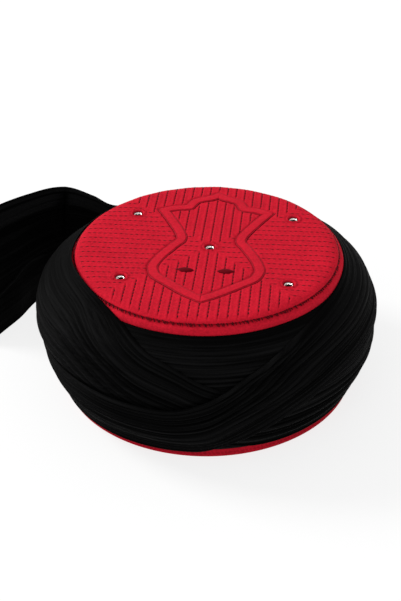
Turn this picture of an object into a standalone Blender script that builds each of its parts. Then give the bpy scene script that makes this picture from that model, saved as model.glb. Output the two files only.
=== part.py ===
"""Turban: a quilted cap with a long pleated cloth wound round it in two crossing passes.

Metres, +Z up. The cap's rim stands on z = 0 round the origin, and the front faces -Y.
A bearing is an angle about +Z in degrees, from +X towards +Y, so the front is at -90.
"""
import math
from collections import namedtuple

import bmesh
import bpy

# Cap
HEAD_RADIUS = 0.0930
WALL = 0.0040
WALL_TAPER = 0.0100
WALL_EDGE = 0.0012
CAP_HEIGHT = 0.0910
CROWN_INSET = 0.0020
CROWN_THICKNESS = 0.0042
CROWN_ROLL_WIDTH = 0.0090
CROWN_ROLL_DROP = 0.0028
CLEARANCE = 0.0003

# Ornament on the crown
ORNAMENT_X = 0.0022
EMBLEM_LENGTH = 0.1402
EMBLEM_WIDTH = 0.0792
EMBLEM_FOOT_Y = -0.0666
EMBLEM_BAND = 0.0066
EMBLEM_HEIGHT = 0.0012
LENS_LENGTH = 0.0107
LENS_WIDTH = 0.0045
LENS_HEIGHT = 0.0005
LENS_SPREAD = 0.0255
LENS_Y = -0.0300
EYELET_RADIUS = 0.0030
EYELET_HOLE = 0.0016
EYELET_BARREL_WALL = 0.0005
EYELET_FLANGE = 0.0007
EYELET_SPREAD_X = 0.1046
EYELET_SPREAD_Y = 0.0808
EYELET_CENTRE_Y = -0.0005

# Winding
WRAP_LOW = 0.0070
WRAP_TOP = 0.0860
WRAP_BULGE = 0.0170
BASE_FOLD_DEPTH = 0.0006
LAYER_GAP = 0.0005
PASS_THICKNESS = 0.0016
PASS_FOLD_DEPTH = 0.0005
PASS_FOLDS = 5
ROLL_HEIGHT = 0.0012
LIFT_MARGIN = 0.0070
LIFT_RUN = 0.0090
RIGHT_PASS_START = -257.0
RIGHT_PASS_END = 96.0

# Free end of the cloth
TAIL_THICKNESS = 0.0020
TAIL_HEIGHT = 0.0880
TAIL_REACH = 0.0500
TAIL_SWEEP = 78.5
TAIL_PLEAT = 0.0009
TAIL_PLEATS = 4
TAIL_HEM = 0.0008
TAIL_STATIONS = 26

# Facets
SEGMENTS = 60
EYELET_SEGMENTS = 10
BASE_FOLDS = 6

# How far the base winding stands off the cap, as a share of WRAP_BULGE, over the share of its height.
Swell = namedtuple("Swell", "height bulge")
BASE_SWELL = (
    Swell(-0.06, 0.00),
    Swell(0.00, 0.10),
    Swell(0.06, 0.22),
    Swell(0.22, 0.61),
    Swell(0.41, 0.85),
    Swell(0.60, 1.00),
    Swell(0.78, 0.96),
    Swell(0.88, 0.73),
    Swell(0.95, 0.38),
    Swell(1.00, 0.12),
    Swell(1.06, 0.00),
)

# The edges of a pass over the bearing, as shares of CAP_HEIGHT.
Edges = namedtuple("Edges", "bearing upper lower")
LEFT_PASS_EDGES = (
    Edges(-180, 1.005, 0.462),
    Edges(-150, 0.995, 0.462),
    Edges(-130, 0.962, 0.462),
    Edges(-115, 0.907, 0.451),
    Edges(-105, 0.868, 0.396),
    Edges(-95, 0.802, 0.308),
    Edges(-85, 0.714, 0.198),
    Edges(-75, 0.637, 0.121),
    Edges(-65, 0.604, 0.088),
    Edges(-40, 0.600, 0.088),
    Edges(0, 0.610, 0.088),
    Edges(40, 0.625, 0.088),
    Edges(55, 0.665, 0.099),
    Edges(70, 0.725, 0.154),
    Edges(85, 0.791, 0.265),
    Edges(98, 0.857, 0.352),
    Edges(115, 0.945, 0.418),
    Edges(130, 0.990, 0.451),
    Edges(150, 1.005, 0.462),
    Edges(180, 1.005, 0.462),
)
RIGHT_PASS_EDGES = (
    Edges(-257, 0.264, 0.066),
    Edges(-245, 0.330, 0.066),
    Edges(-230, 0.396, 0.060),
    Edges(-215, 0.451, 0.055),
    Edges(-200, 0.495, 0.060),
    Edges(-180, 0.505, 0.066),
    Edges(-150, 0.505, 0.055),
    Edges(-130, 0.525, 0.055),
    Edges(-105, 0.522, 0.062),
    Edges(-95, 0.532, 0.066),
    Edges(-85, 0.595, 0.088),
    Edges(-75, 0.709, 0.209),
    Edges(-65, 0.800, 0.319),
    Edges(-55, 0.868, 0.420),
    Edges(-40, 0.923, 0.530),
    Edges(-20, 0.956, 0.575),
    Edges(0, 0.967, 0.588),
    Edges(20, 0.970, 0.588),
    Edges(40, 0.956, 0.571),
    Edges(55, 0.912, 0.505),
    Edges(70, 0.857, 0.429),
    Edges(85, 0.791, 0.352),
    Edges(96, 0.747, 0.297),
)

# The free end's lower and upper edge, from its root. A turn is a share of TAIL_SWEEP past the root,
# an out is a share of TAIL_REACH beyond the winding, and a height is a share of TAIL_HEIGHT.
Drape = namedtuple("Drape", "low_turn low_out low_height top_turn top_out top_height")
TAIL_DRAPE = (
    Drape(0.00, 0.00, 0.306, 0.00, 0.00, 0.772),
    Drape(0.16, 0.13, 0.130, 0.19, 0.11, 0.725),
    Drape(0.32, 0.38, 0.015, 0.37, 0.35, 0.715),
    Drape(0.44, 0.64, 0.000, 0.43, 0.66, 0.770),
    Drape(0.53, 0.78, 0.000, 0.48, 0.93, 0.820),
    Drape(0.62, 0.80, 0.000, 0.54, 1.00, 0.860),
    Drape(0.73, 0.75, 0.000, 0.64, 0.98, 0.910),
    Drape(0.83, 0.71, 0.000, 0.72, 0.97, 0.950),
    Drape(0.94, 0.79, 0.000, 0.80, 0.98, 0.985),
    Drape(1.01, 0.88, 0.000, 0.88, 1.03, 1.000),
)

# Half of the emblem's outline, from its foot to its tip. A half is a share of half its width,
# an up is a share of its length, and a corner is sharp.
Outline = namedtuple("Outline", "half up corner")
EMBLEM_OUTLINE = (
    Outline(0.000, 0.000, True),
    Outline(0.303, 0.058, False),
    Outline(0.581, 0.126, False),
    Outline(0.833, 0.190, False),
    Outline(0.920, 0.248, False),
    Outline(0.930, 0.300, False),
    Outline(0.833, 0.386, False),
    Outline(0.669, 0.482, False),
    Outline(0.575, 0.549, False),
    Outline(0.770, 0.682, False),
    Outline(1.000, 0.807, True),
    Outline(0.758, 0.843, False),
    Outline(0.530, 0.858, True),
    Outline(0.455, 0.908, False),
    Outline(0.341, 0.936, False),
    Outline(0.139, 0.963, False),
    Outline(0.000, 1.000, True),
)

# Materials: linear base colour, roughness and metallic value.
CAP_RED = ((0.52, 0.018, 0.034), 0.85, 0.0)
EMBLEM_RED = ((0.55, 0.020, 0.038), 0.60, 0.0)
THREAD_RED = ((0.12, 0.003, 0.008), 0.75, 0.0)
CLOTH_BLACK = ((0.006, 0.006, 0.007), 0.70, 0.0)
EYELET_METAL = ((0.80, 0.80, 0.78), 0.25, 1.0)


def material(name, look):
    """A Principled material of one colour, roughness and metallic value."""
    colour, roughness, metallic = look
    made = bpy.data.materials.new(name)
    made.use_nodes = True
    shader = made.node_tree.nodes["Principled BSDF"]
    shader.inputs["Base Color"].default_value = (*colour, 1.0)
    shader.inputs["Roughness"].default_value = roughness
    shader.inputs["Metallic"].default_value = metallic
    return made


def collection(name):
    """A new collection in the scene."""
    made = bpy.data.collections.new(name)
    bpy.context.scene.collection.children.link(made)
    return made


def add_object(name, mesh, group, finish):
    """Put a mesh into the scene as a named object with its material."""
    made = bpy.data.objects.new(name, mesh)
    group.objects.link(made)
    if finish is not None:
        mesh.materials.append(finish)
    return made


def blend(x, low, high):
    """0 below low, 1 above high, and a smooth step between."""
    share = min(max((x - low) / (high - low), 0.0), 1.0)
    return share * share * (3.0 - 2.0 * share)


def read_table(rows, x, column):
    """The column's value at x, on a smooth curve through the rows, which are sorted by their first column."""
    keys = [row[0] for row in rows]
    values = [getattr(row, column) for row in rows]
    if x <= keys[0]:
        return values[0]
    if x >= keys[-1]:
        return values[-1]
    i = max(k for k in range(len(keys) - 1) if keys[k] <= x)

    def slope(k):
        a, b = max(k - 1, 0), min(k + 1, len(keys) - 1)
        return (values[b] - values[a]) / (keys[b] - keys[a])

    span = keys[i + 1] - keys[i]
    t = (x - keys[i]) / span
    return (
        values[i] * (1 + 2 * t) * (1 - t) ** 2
        + slope(i) * span * t * (1 - t) ** 2
        + values[i + 1] * t * t * (3 - 2 * t)
        + slope(i + 1) * span * t * t * (t - 1)
    )


def around(radius, bearing, z):
    """The point at a radius, a bearing and a height."""
    turn = math.radians(bearing)
    return (radius * math.cos(turn), radius * math.sin(turn), z)


def wall_radius(z):
    """The cap's outer radius at height z."""
    return HEAD_RADIUS + WALL - WALL_TAPER * z / CAP_HEIGHT


def base_radius(z):
    """The base winding's outer radius at height z, over its ridges, running out to the cap's wall."""
    share = (z - WRAP_LOW) / (WRAP_TOP - WRAP_LOW)
    return wall_radius(z) + WRAP_BULGE * max(read_table(BASE_SWELL, share, "bulge"), 0.0)


def edge_height(rows, bearing, column):
    """The height of a pass's edge at a bearing."""
    return CAP_HEIGHT * read_table(rows, bearing, column)


def wrapped(bearing):
    """The same bearing between -180 and 180."""
    return (bearing + 180.0) % 360.0 - 180.0


def left_pass_cover(bearing, z):
    """1 over the left pass and within LIFT_MARGIN of it, running out to 0 over LIFT_RUN."""
    upper = edge_height(LEFT_PASS_EDGES, wrapped(bearing), "upper")
    lower = edge_height(LEFT_PASS_EDGES, wrapped(bearing), "lower")
    outside = max(z - upper, lower - z) - LIFT_MARGIN
    return 1.0 - blend(outside, 0.0, LIFT_RUN)


def left_pass_inside(bearing, z):
    """The inner radius of the left pass, which lies on the base winding."""
    return base_radius(z) + LAYER_GAP


def right_pass_inside(bearing, z):
    """The inner radius of the right pass, which rises over the left pass where they cross."""
    rise = PASS_THICKNESS + PASS_FOLD_DEPTH + LAYER_GAP
    return base_radius(z) + LAYER_GAP + rise * left_pass_cover(bearing, z)


def pass_thickness(across, roll):
    """A pass's thickness: PASS_FOLDS ridges across it, thin edges, and a roll along the upper edge."""
    folds = PASS_FOLD_DEPTH * math.cos(2.0 * math.pi * PASS_FOLDS * across)
    edge = min(across, 1.0 - across) * 2 * PASS_FOLDS
    body = PASS_THICKNESS * (0.6 + 0.4 * min(edge, 1.0))
    return body + folds * min(edge, 1.0) + roll * blend(across, 0.75, 0.9) * min(edge, 1.0)


def pass_section(bearing, edges, inside, roll):
    """The closed outline of a pass at one bearing: up its outer side and down its inner side."""
    turn = wrapped(bearing) if edges is LEFT_PASS_EDGES else bearing
    upper = edge_height(edges, turn, "upper")
    lower = edge_height(edges, turn, "lower")
    count = 2 * PASS_FOLDS
    outer, inner = [], []
    for i in range(count + 1):
        across = i / count
        z = lower + (upper - lower) * across
        radius = inside(bearing, z)
        inner.append(around(radius, bearing, z))
        outer.append(around(radius + pass_thickness(across, roll), bearing, z))
    return outer + inner[::-1]


def loft(name, sections, closed, group, finish):
    """A solid skin over sections of equal length, joined end to start or capped at both ends."""
    bm = bmesh.new()
    rings = [[bm.verts.new(point) for point in section] for section in sections]
    pairs = list(zip(rings, rings[1:]))
    if closed:
        pairs.append((rings[-1], rings[0]))
    for a, b in pairs:
        for i in range(len(a)):
            j = (i + 1) % len(a)
            bm.faces.new((a[i], a[j], b[j], b[i]))
    if not closed:
        half = len(rings[0]) // 2
        for ring in (rings[0], rings[-1]):
            for i in range(half - 1):
                bm.faces.new((ring[i], ring[i + 1], ring[-2 - i], ring[-1 - i]))
    bmesh.ops.recalc_face_normals(bm, faces=bm.faces)
    mesh = bpy.data.meshes.new(name)
    bm.to_mesh(mesh)
    bm.free()
    mesh.shade_smooth()
    mesh.set_sharp_from_angle(angle=math.radians(40))
    return add_object(name, mesh, group, finish)


def turned(name, profile, ring, steps, group, finish):
    """Turn a profile of (radius, z) points about Z. A ring's profile is closed, a disc's ends on the axis."""
    mesh = bpy.data.meshes.new(name)
    edges = [(i, i + 1) for i in range(len(profile) - 1)]
    if ring:
        edges.append((len(profile) - 1, 0))
    mesh.from_pydata([(radius, 0.0, z) for radius, z in profile], edges, [])
    made = add_object(name, mesh, group, finish)
    screw = made.modifiers.new("turn", "SCREW")
    screw.axis = "Z"
    screw.angle = 2.0 * math.pi
    screw.steps = steps
    screw.render_steps = steps
    screw.use_merge_vertices = True
    screw.merge_threshold = 0.00002
    screw.use_smooth_shade = True
    return made


def cap_wall(group, finish):
    """The padded side wall: open below for the head, with a flat rim to stand on and a rounded top edge."""
    top_outer = wall_radius(CAP_HEIGHT)
    profile = [
        (top_outer - WALL + WALL_EDGE / 2, CAP_HEIGHT),
        (top_outer - WALL_EDGE, CAP_HEIGHT),
        (top_outer - 0.3 * WALL_EDGE, CAP_HEIGHT - 0.3 * WALL_EDGE),
        (wall_radius(CAP_HEIGHT - WALL_EDGE), CAP_HEIGHT - WALL_EDGE),
        (wall_radius(WALL_EDGE / 2), WALL_EDGE / 2),
        (HEAD_RADIUS + WALL - WALL_EDGE / 2, 0.0),
        (HEAD_RADIUS, 0.0),
        (top_outer - WALL, CAP_HEIGHT - WALL_EDGE / 2),
    ]
    return turned("cap_wall", profile, True, SEGMENTS, group, finish)


def crown_bottom():
    """The height of the crown's flat underside, on the wall's top edge."""
    return CAP_HEIGHT + CLEARANCE


def crown_top():
    """The height of the crown's flat upper side."""
    return crown_bottom() + CROWN_THICKNESS


def crown(group, finish):
    """The padded flat crown, whose edge rolls down to the seam. Its eyelet holes are cut afterwards."""
    radius = wall_radius(CAP_HEIGHT) - CROWN_INSET
    profile = [(0.0, crown_top())]
    for degrees in (0, 30, 60, 90):
        turn = math.radians(degrees)
        profile.append((
            radius - CROWN_ROLL_WIDTH * (1.0 - math.sin(turn)),
            crown_top() - CROWN_ROLL_DROP * (1.0 - math.cos(turn)),
        ))
    profile.append((radius - CLEARANCE, crown_bottom()))
    profile.append((0.0, crown_bottom()))
    return turned("crown", profile, False, SEGMENTS, group, finish)


def eyelet_places():
    """The name and place of each eyelet: one at the middle and four round it."""
    half_x, half_y = EYELET_SPREAD_X / 2, EYELET_SPREAD_Y / 2
    return (
        ("eyelet_middle", ORNAMENT_X, EYELET_CENTRE_Y),
        ("eyelet_front_left", ORNAMENT_X - half_x, EYELET_CENTRE_Y - half_y),
        ("eyelet_front_right", ORNAMENT_X + half_x, EYELET_CENTRE_Y - half_y),
        ("eyelet_rear_left", ORNAMENT_X - half_x, EYELET_CENTRE_Y + half_y),
        ("eyelet_rear_right", ORNAMENT_X + half_x, EYELET_CENTRE_Y + half_y),
    )


def eyelets(group, finish):
    """Five pressed metal rings through the crown, each with a flange above and one below."""
    barrel = EYELET_HOLE + EYELET_BARREL_WALL
    seat_top = crown_top() + CLEARANCE
    seat_bottom = crown_bottom() - CLEARANCE
    edge = EYELET_FLANGE / 2
    profile = [
        (EYELET_HOLE + edge / 2, seat_top + EYELET_FLANGE),
        (EYELET_RADIUS - edge, seat_top + EYELET_FLANGE),
        (EYELET_RADIUS, seat_top + edge / 2),
        (EYELET_RADIUS - edge / 2, seat_top),
        (barrel, seat_top),
        (barrel, seat_bottom),
        (EYELET_RADIUS - edge, seat_bottom),
        (EYELET_RADIUS - edge, seat_bottom - edge),
        (EYELET_HOLE, seat_bottom - edge),
        (EYELET_HOLE, seat_top + edge),
    ]
    made = []
    for name, x, y in eyelet_places():
        ring = turned(name, profile, True, EYELET_SEGMENTS, group, finish)
        ring.location = (x, y, 0.0)
        made.append(ring)
    return made


def cut_eyelet_holes(target, cutters):
    """Cut a hole through the crown for each eyelet's barrel."""
    for name, x, y in eyelet_places():
        bpy.ops.mesh.primitive_cylinder_add(
            vertices=EYELET_SEGMENTS,
            radius=EYELET_HOLE + EYELET_BARREL_WALL + CLEARANCE,
            depth=3.0 * CROWN_THICKNESS,
            location=(x, y, (crown_top() + crown_bottom()) / 2),
        )
        cutter = bpy.context.object
        cutter.name = "hole_" + name
        for owner in cutter.users_collection:
            owner.objects.unlink(cutter)
        cutters.objects.link(cutter)
        cutter.hide_render = True
        cutter.display_type = "WIRE"
        cut = target.modifiers.new(cutter.name, "BOOLEAN")
        cut.operation = "DIFFERENCE"
        cut.solver = "EXACT"
        cut.object = cutter


def outline_points(rows, steps):
    """Points along a half outline, smooth through its rows and breaking at its corners."""
    points = []
    for i in range(len(rows) - 1):
        a, b = rows[i], rows[i + 1]
        before = rows[i - 1] if i > 0 and not a.corner else a
        after = rows[i + 2] if i + 2 < len(rows) and not b.corner else b
        reach_a = 2.0 if before is not a else 1.0
        reach_b = 2.0 if after is not b else 1.0
        for k in range(steps):
            t = k / steps
            place = []
            for axis in (0, 1):
                start = (b[axis] - before[axis]) / reach_a
                end = (after[axis] - a[axis]) / reach_b
                place.append(
                    a[axis] * (1 + 2 * t) * (1 - t) ** 2
                    + start * t * (1 - t) ** 2
                    + b[axis] * t * t * (3 - 2 * t)
                    + end * t * t * (t - 1)
                )
            points.append(place)
    points.append([rows[-1][0], rows[-1][1]])
    return points


def emblem_outline(steps):
    """The emblem's closed outer outline, right half from foot to tip and left half back."""
    right = [
        (half * EMBLEM_WIDTH / 2, EMBLEM_FOOT_Y + up * EMBLEM_LENGTH)
        for half, up in outline_points(EMBLEM_OUTLINE, steps)
    ]
    left = [(-x, y) for x, y in right[-2:0:-1]]
    return right + left


def inset(points, distance):
    """A closed outline moved inwards by a distance, without the points that cross over at its corners."""
    kept = []
    count = len(points)
    for i in range(count):
        (ax, ay), (bx, by) = points[i], points[(i + 1) % count]
        length = math.hypot(bx - ax, by - ay)
        x = (ax + bx) / 2 - (by - ay) / length * distance
        y = (ay + by) / 2 + (bx - ax) / length * distance
        nearest = min(math.hypot(x - px, y - py) for px, py in points)
        if nearest > 0.985 * distance:
            kept.append((x, y))
    return kept


def flat_piece(name, outlines, thickness, x, y, bottom, group, finish):
    """A flat piece from closed outlines in its plane, standing on the height given."""
    curve = bpy.data.curves.new(name, "CURVE")
    curve.dimensions = "2D"
    curve.fill_mode = "BOTH"
    curve.extrude = thickness / 2
    for outline in outlines:
        spline = curve.splines.new("POLY")
        spline.points.add(len(outline) - 1)
        for point, (px, py) in zip(spline.points, outline):
            point.co = (px, py, 0.0, 1.0)
        spline.use_cyclic_u = True
    guide = bpy.data.objects.new(name + "_outline", curve)
    group.objects.link(guide)
    mesh = bpy.data.meshes.new_from_object(guide.evaluated_get(bpy.context.evaluated_depsgraph_get()))
    bpy.data.objects.remove(guide)
    bm = bmesh.new()
    bm.from_mesh(mesh)
    bmesh.ops.remove_doubles(bm, verts=bm.verts, dist=0.00002)
    bmesh.ops.recalc_face_normals(bm, faces=bm.faces)
    bm.to_mesh(mesh)
    bm.free()
    made = add_object(name, mesh, group, finish)
    made.location = (x, y, bottom + thickness / 2)
    return made


def emblem_band(group, finish):
    """The raised band that draws the sandal-shaped emblem on the crown."""
    outer = emblem_outline(4)
    fine = emblem_outline(12)
    inner = inset(fine, EMBLEM_BAND)[::3]
    bottom = crown_top() + CLEARANCE
    return flat_piece("emblem_band", (outer, inner), EMBLEM_HEIGHT, ORNAMENT_X, 0.0, bottom, group, finish)


def lens_outline():
    """A pointed lens: two equal arcs that meet at its ends."""
    rise = LENS_WIDTH / 2
    half = LENS_LENGTH / 2
    radius = (half * half + rise * rise) / (2 * rise)
    turn = math.asin(half / radius)
    arc = [
        (radius * math.sin(turn * k / 4), radius * math.cos(turn * k / 4) - radius + rise)
        for k in range(-4, 4)
    ]
    return arc + [(-x, -y) for x, y in arc]


def lens_stitches(group, finish):
    """Two embroidered lenses inside the emblem's broad end."""
    bottom = crown_top() + CLEARANCE
    for name, side in (("lens_stitch_left", -1), ("lens_stitch_right", 1)):
        x = ORNAMENT_X + side * LENS_SPREAD / 2
        flat_piece(name, (lens_outline(),), LENS_HEIGHT, x, LENS_Y, bottom, group, finish)


def base_wrap(group, finish):
    """The lower windings, one thick ring of horizontal pleats that fills out from the cap's wall."""
    count = 2 * BASE_FOLDS
    profile = []
    for i in range(count + 1):
        z = WRAP_TOP + (WRAP_LOW - WRAP_TOP) * i / count
        groove = BASE_FOLD_DEPTH if i % 2 else 0.0
        profile.append((base_radius(z) - groove, z))
    profile.append((wall_radius(WRAP_LOW) + CLEARANCE, WRAP_LOW))
    profile.append((wall_radius(WRAP_TOP) + CLEARANCE, WRAP_TOP))
    return turned("base_wrap", profile, True, SEGMENTS, group, finish)


def left_pass(group, finish):
    """The pass that runs from high on the left to low on the right, a closed slanting ring."""
    step = 360.0 / SEGMENTS
    sections = [
        pass_section(-180.0 + step * k, LEFT_PASS_EDGES, left_pass_inside, 0.0)
        for k in range(SEGMENTS)
    ]
    return loft("left_pass", sections, True, group, finish)


def right_pass(group, finish):
    """The last pass, from low behind on the left, over the front, high on the right, to the tail's root."""
    step = 360.0 / SEGMENTS
    bearings = [RIGHT_PASS_START]
    bearings += [step * k for k in range(-2 * SEGMENTS, SEGMENTS)
                 if RIGHT_PASS_START + 1.0 < step * k < RIGHT_PASS_END - 1.0]
    bearings.append(RIGHT_PASS_END)
    sections = [
        pass_section(bearing, RIGHT_PASS_EDGES, right_pass_inside, ROLL_HEIGHT)
        for bearing in bearings
    ]
    return loft("right_pass", sections, False, group, finish)


def tail_section(share, root_bearing):
    """The closed outline of the free end at a share of its length: along one face and back on the other."""
    at = share * (len(TAIL_DRAPE) - 1)
    rows = [numbered(at_row, row) for at_row, row in enumerate(TAIL_DRAPE)]
    drape = {name: read_table(rows, at, name) for name in Drape._fields}
    low = root_bearing + TAIL_SWEEP * drape["low_turn"]
    top = root_bearing + TAIL_SWEEP * drape["top_turn"]
    low_z = TAIL_HEIGHT * max(drape["low_height"], 0.0)
    top_z = TAIL_HEIGHT * drape["top_height"]
    free = blend(at, 0.0, 1.6)
    widest = wall_radius(WRAP_LOW) + WRAP_BULGE
    count = 2 * TAIL_PLEATS
    face, back = [], []
    for i in range(count + 1):
        across = i / count
        bearing = low + (top - low) * across
        z = low_z + (top_z - low_z) * across
        on_wrap = right_pass_inside(bearing, z)
        out = drape["low_out"] + (drape["top_out"] - drape["low_out"]) * across
        off_wrap = widest + TAIL_REACH * out
        radius = max(on_wrap + (off_wrap - on_wrap) * free, on_wrap)
        pleat = TAIL_PLEAT * (1 - (-1) ** i) / 2
        hem = TAIL_HEM if i == count else 0.0
        face.append(around(radius + pleat, bearing, z))
        back.append(around(radius + pleat + TAIL_THICKNESS + hem, bearing, z))
    return back + face[::-1]


def numbered(index, row):
    """A drape row with its index in front, as a table that reads by index."""
    return namedtuple("Numbered", ("index",) + Drape._fields)(index, *row)


def tail(group, finish):
    """The cloth's free end: it leaves the winding behind on the left and stands on its lower edge."""
    gap = math.degrees(LAYER_GAP / base_radius(WRAP_TOP / 2))
    root_bearing = RIGHT_PASS_END + gap
    sections = [tail_section(k / TAIL_STATIONS, root_bearing) for k in range(TAIL_STATIONS + 1)]
    return loft("tail", sections, False, group, finish)


def build():
    """Make the whole turban."""
    for old in list(bpy.data.objects):
        bpy.data.objects.remove(old)
    pieces = collection("turban")
    cutters = collection("turban_cutters")
    red = material("cap_red", CAP_RED)
    satin = material("emblem_red", EMBLEM_RED)
    thread = material("thread_red", THREAD_RED)
    black = material("cloth_black", CLOTH_BLACK)
    metal = material("eyelet_metal", EYELET_METAL)
    cap_wall(pieces, red)
    disc = crown(pieces, red)
    cut_eyelet_holes(disc, cutters)
    eyelets(pieces, metal)
    emblem_band(pieces, satin)
    lens_stitches(pieces, thread)
    base_wrap(pieces, black)
    left_pass(pieces, black)
    right_pass(pieces, black)
    tail(pieces, black)


build()
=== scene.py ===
import math

import bpy
import numpy as np
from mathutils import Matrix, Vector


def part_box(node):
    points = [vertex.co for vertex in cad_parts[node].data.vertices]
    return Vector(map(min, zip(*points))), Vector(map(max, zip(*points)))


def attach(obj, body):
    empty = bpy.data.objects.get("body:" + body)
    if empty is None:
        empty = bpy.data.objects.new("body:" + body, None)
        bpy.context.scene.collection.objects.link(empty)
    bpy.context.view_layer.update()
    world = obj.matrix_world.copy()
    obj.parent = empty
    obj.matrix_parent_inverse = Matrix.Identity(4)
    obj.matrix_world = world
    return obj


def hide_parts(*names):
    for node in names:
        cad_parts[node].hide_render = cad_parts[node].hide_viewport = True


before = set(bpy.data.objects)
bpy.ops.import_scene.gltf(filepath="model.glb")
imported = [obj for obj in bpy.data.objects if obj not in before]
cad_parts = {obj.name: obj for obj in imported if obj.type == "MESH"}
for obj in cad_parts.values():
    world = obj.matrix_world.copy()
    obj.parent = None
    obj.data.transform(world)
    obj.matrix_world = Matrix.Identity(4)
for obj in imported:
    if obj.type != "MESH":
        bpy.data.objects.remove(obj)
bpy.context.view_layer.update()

# The cap's side wall.
# A padded cylinder of red cotton satin over a stiff core, narrower at the top. The cloth is turned in at
# the rim, stitched once round just above it, and rolls out fatly under the crown's seam.


def flowing(x, knots, values):
    """Values on a smooth curve through knots: cubic pieces whose slope at a knot is that from the knot
    before it to the knot after it. Beyond the first and last knot the value stays."""
    knots = np.asarray(knots, float)
    values = np.asarray(values, float)
    x = np.clip(x, knots[0], knots[-1])
    every = np.arange(len(knots))
    before = np.maximum(every - 1, 0)
    after = np.minimum(every + 1, len(knots) - 1)
    slope = (values[after] - values[before]) / (knots[after] - knots[before])
    i = np.clip(np.searchsorted(knots, x, side="right") - 1, 0, len(knots) - 2)
    span = knots[i + 1] - knots[i]
    t = (x - knots[i]) / span
    return (
        values[i] * (1 + 2 * t) * (1 - t) ** 2
        + slope[i] * span * t * (1 - t) ** 2
        + values[i + 1] * t * t * (3 - 2 * t)
        + slope[i + 1] * span * t * t * (t - 1)
    )


def step_up(x, low, high):
    """0 below low, 1 above high, and 3t^2 - 2t^3 between them."""
    t = np.clip((x - low) / (high - low), 0, 1)
    return t * t * (3 - 2 * t)


def wander(turn, seed, waves=(1, 2, 3, 5, 8)):
    """A slow unevenness from about -1 to 1 round the cap: sines of whole numbers of waves, each with a
    phase drawn from the seed and a height that falls with the root of its number."""
    phases = np.random.default_rng(seed).uniform(0, 2 * np.pi, len(waves))
    total = sum(np.sin(k * turn + p) / np.sqrt(k) for k, p in zip(waves, phases))
    return total / sum(1 / np.sqrt(k) for k in waves) * 1.6


def around(radius, turn, z):
    """Points at a radius, an angle about Z and a height."""
    return np.stack(np.broadcast_arrays(radius * np.cos(turn), radius * np.sin(turn), z), axis=-1)


def sew(name, points, faces, marks=None, welded=0.0, ends=()):
    """Put points and four-cornered faces into a mesh object with smooth faces. Marks are named numbers,
    one a point, and an end is one more face with as many corners as it has points."""
    mesh = bpy.data.meshes.new(name)
    corners = np.concatenate([np.asarray(faces).ravel(), *ends]).astype(np.int32)
    counts = np.array([4] * len(faces) + [len(end) for end in ends], np.int32)
    mesh.vertices.add(len(points))
    mesh.vertices.foreach_set("co", np.asarray(points, np.float32).ravel())
    mesh.loops.add(len(corners))
    mesh.loops.foreach_set("vertex_index", corners)
    mesh.polygons.add(len(counts))
    mesh.polygons.foreach_set("loop_start", np.cumsum(counts, dtype=np.int32) - counts)
    mesh.polygons.foreach_set("loop_total", counts)
    mesh.update(calc_edges=True)
    for mark, values in (marks or {}).items():
        layer = mesh.attributes.new(mark, "FLOAT", "POINT")
        layer.data.foreach_set("value", np.asarray(values, np.float32).ravel())
    if welded:
        import bmesh
        bm = bmesh.new()
        bm.from_mesh(mesh)
        bmesh.ops.remove_doubles(bm, verts=bm.verts, dist=welded)
        bmesh.ops.dissolve_degenerate(bm, edges=bm.edges, dist=welded / 10)
        bm.to_mesh(mesh)
        bm.free()
    mesh.shade_smooth()
    piece = bpy.data.objects.new(name, mesh)
    bpy.context.scene.collection.objects.link(piece)
    return piece


def cross(rows, columns, round_rows=False, round_columns=False, offset=0):
    """The four-cornered faces between the neighbours of a grid of points, which may run round either way."""
    index = np.arange(rows * columns).reshape(rows, columns) + offset
    if round_rows:
        index = np.vstack([index, index[:1]])
    if round_columns:
        index = np.hstack([index, index[:, :1]])
    four = [index[:-1, :-1], index[:-1, 1:], index[1:, 1:], index[1:, :-1]]
    return np.stack(four, axis=-1).reshape(-1, 4)


class Dye:
    """A value in a material. Arithmetic on it adds Math nodes, and add() makes any other node."""

    def __init__(self, tree, out):
        self.tree = tree
        self.out = out

    def add(self, kind, settings=None, out=0, **inputs):
        """A node of a kind: its settings are set first, then its sockets take numbers, tuples or values.
        A socket is named by its label in lower case with _ for a space, or by its number after an s."""
        node = self.tree.nodes.new(kind)
        for setting, value in (settings or {}).items():
            if setting == "stops":
                for stop, (place, shade) in zip(node.color_ramp.elements, value):
                    stop.position = place
                    stop.color = shade
            else:
                setattr(node, setting, value)
        for label, value in inputs.items():
            if label[0] == "s" and label[1:].isdigit():
                socket = node.inputs[int(label[1:])]
            else:
                socket = next(s for s in node.inputs if s.name.lower().replace(" ", "_") == label and s.enabled)
            if isinstance(value, Dye):
                self.tree.links.new(value.out, socket)
            else:
                socket.default_value = value
        return Dye(self.tree, node.outputs[out])

    def maths(self, operation, other=0.0, reflected=False):
        """A Math node on this value and another, or on the other first where reflected."""
        first, second = (other, self) if reflected else (self, other)
        return self.add("ShaderNodeMath", {"operation": operation}, s0=first, s1=second)

    def __add__(self, other):
        return self.maths("ADD", other)

    def __sub__(self, other):
        return self.maths("SUBTRACT", other)

    def __rsub__(self, other):
        return self.maths("SUBTRACT", other, reflected=True)

    def __mul__(self, other):
        return self.maths("MULTIPLY", other)

    __radd__ = __add__
    __rmul__ = __mul__

    def blend(self, first, second):
        """The colour first where this value is 0, and second where it is 1."""
        settings = {"data_type": "RGBA"}
        return self.add("ShaderNodeMix", settings, out=2, s0=self, s6=first, s7=second)


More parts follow.
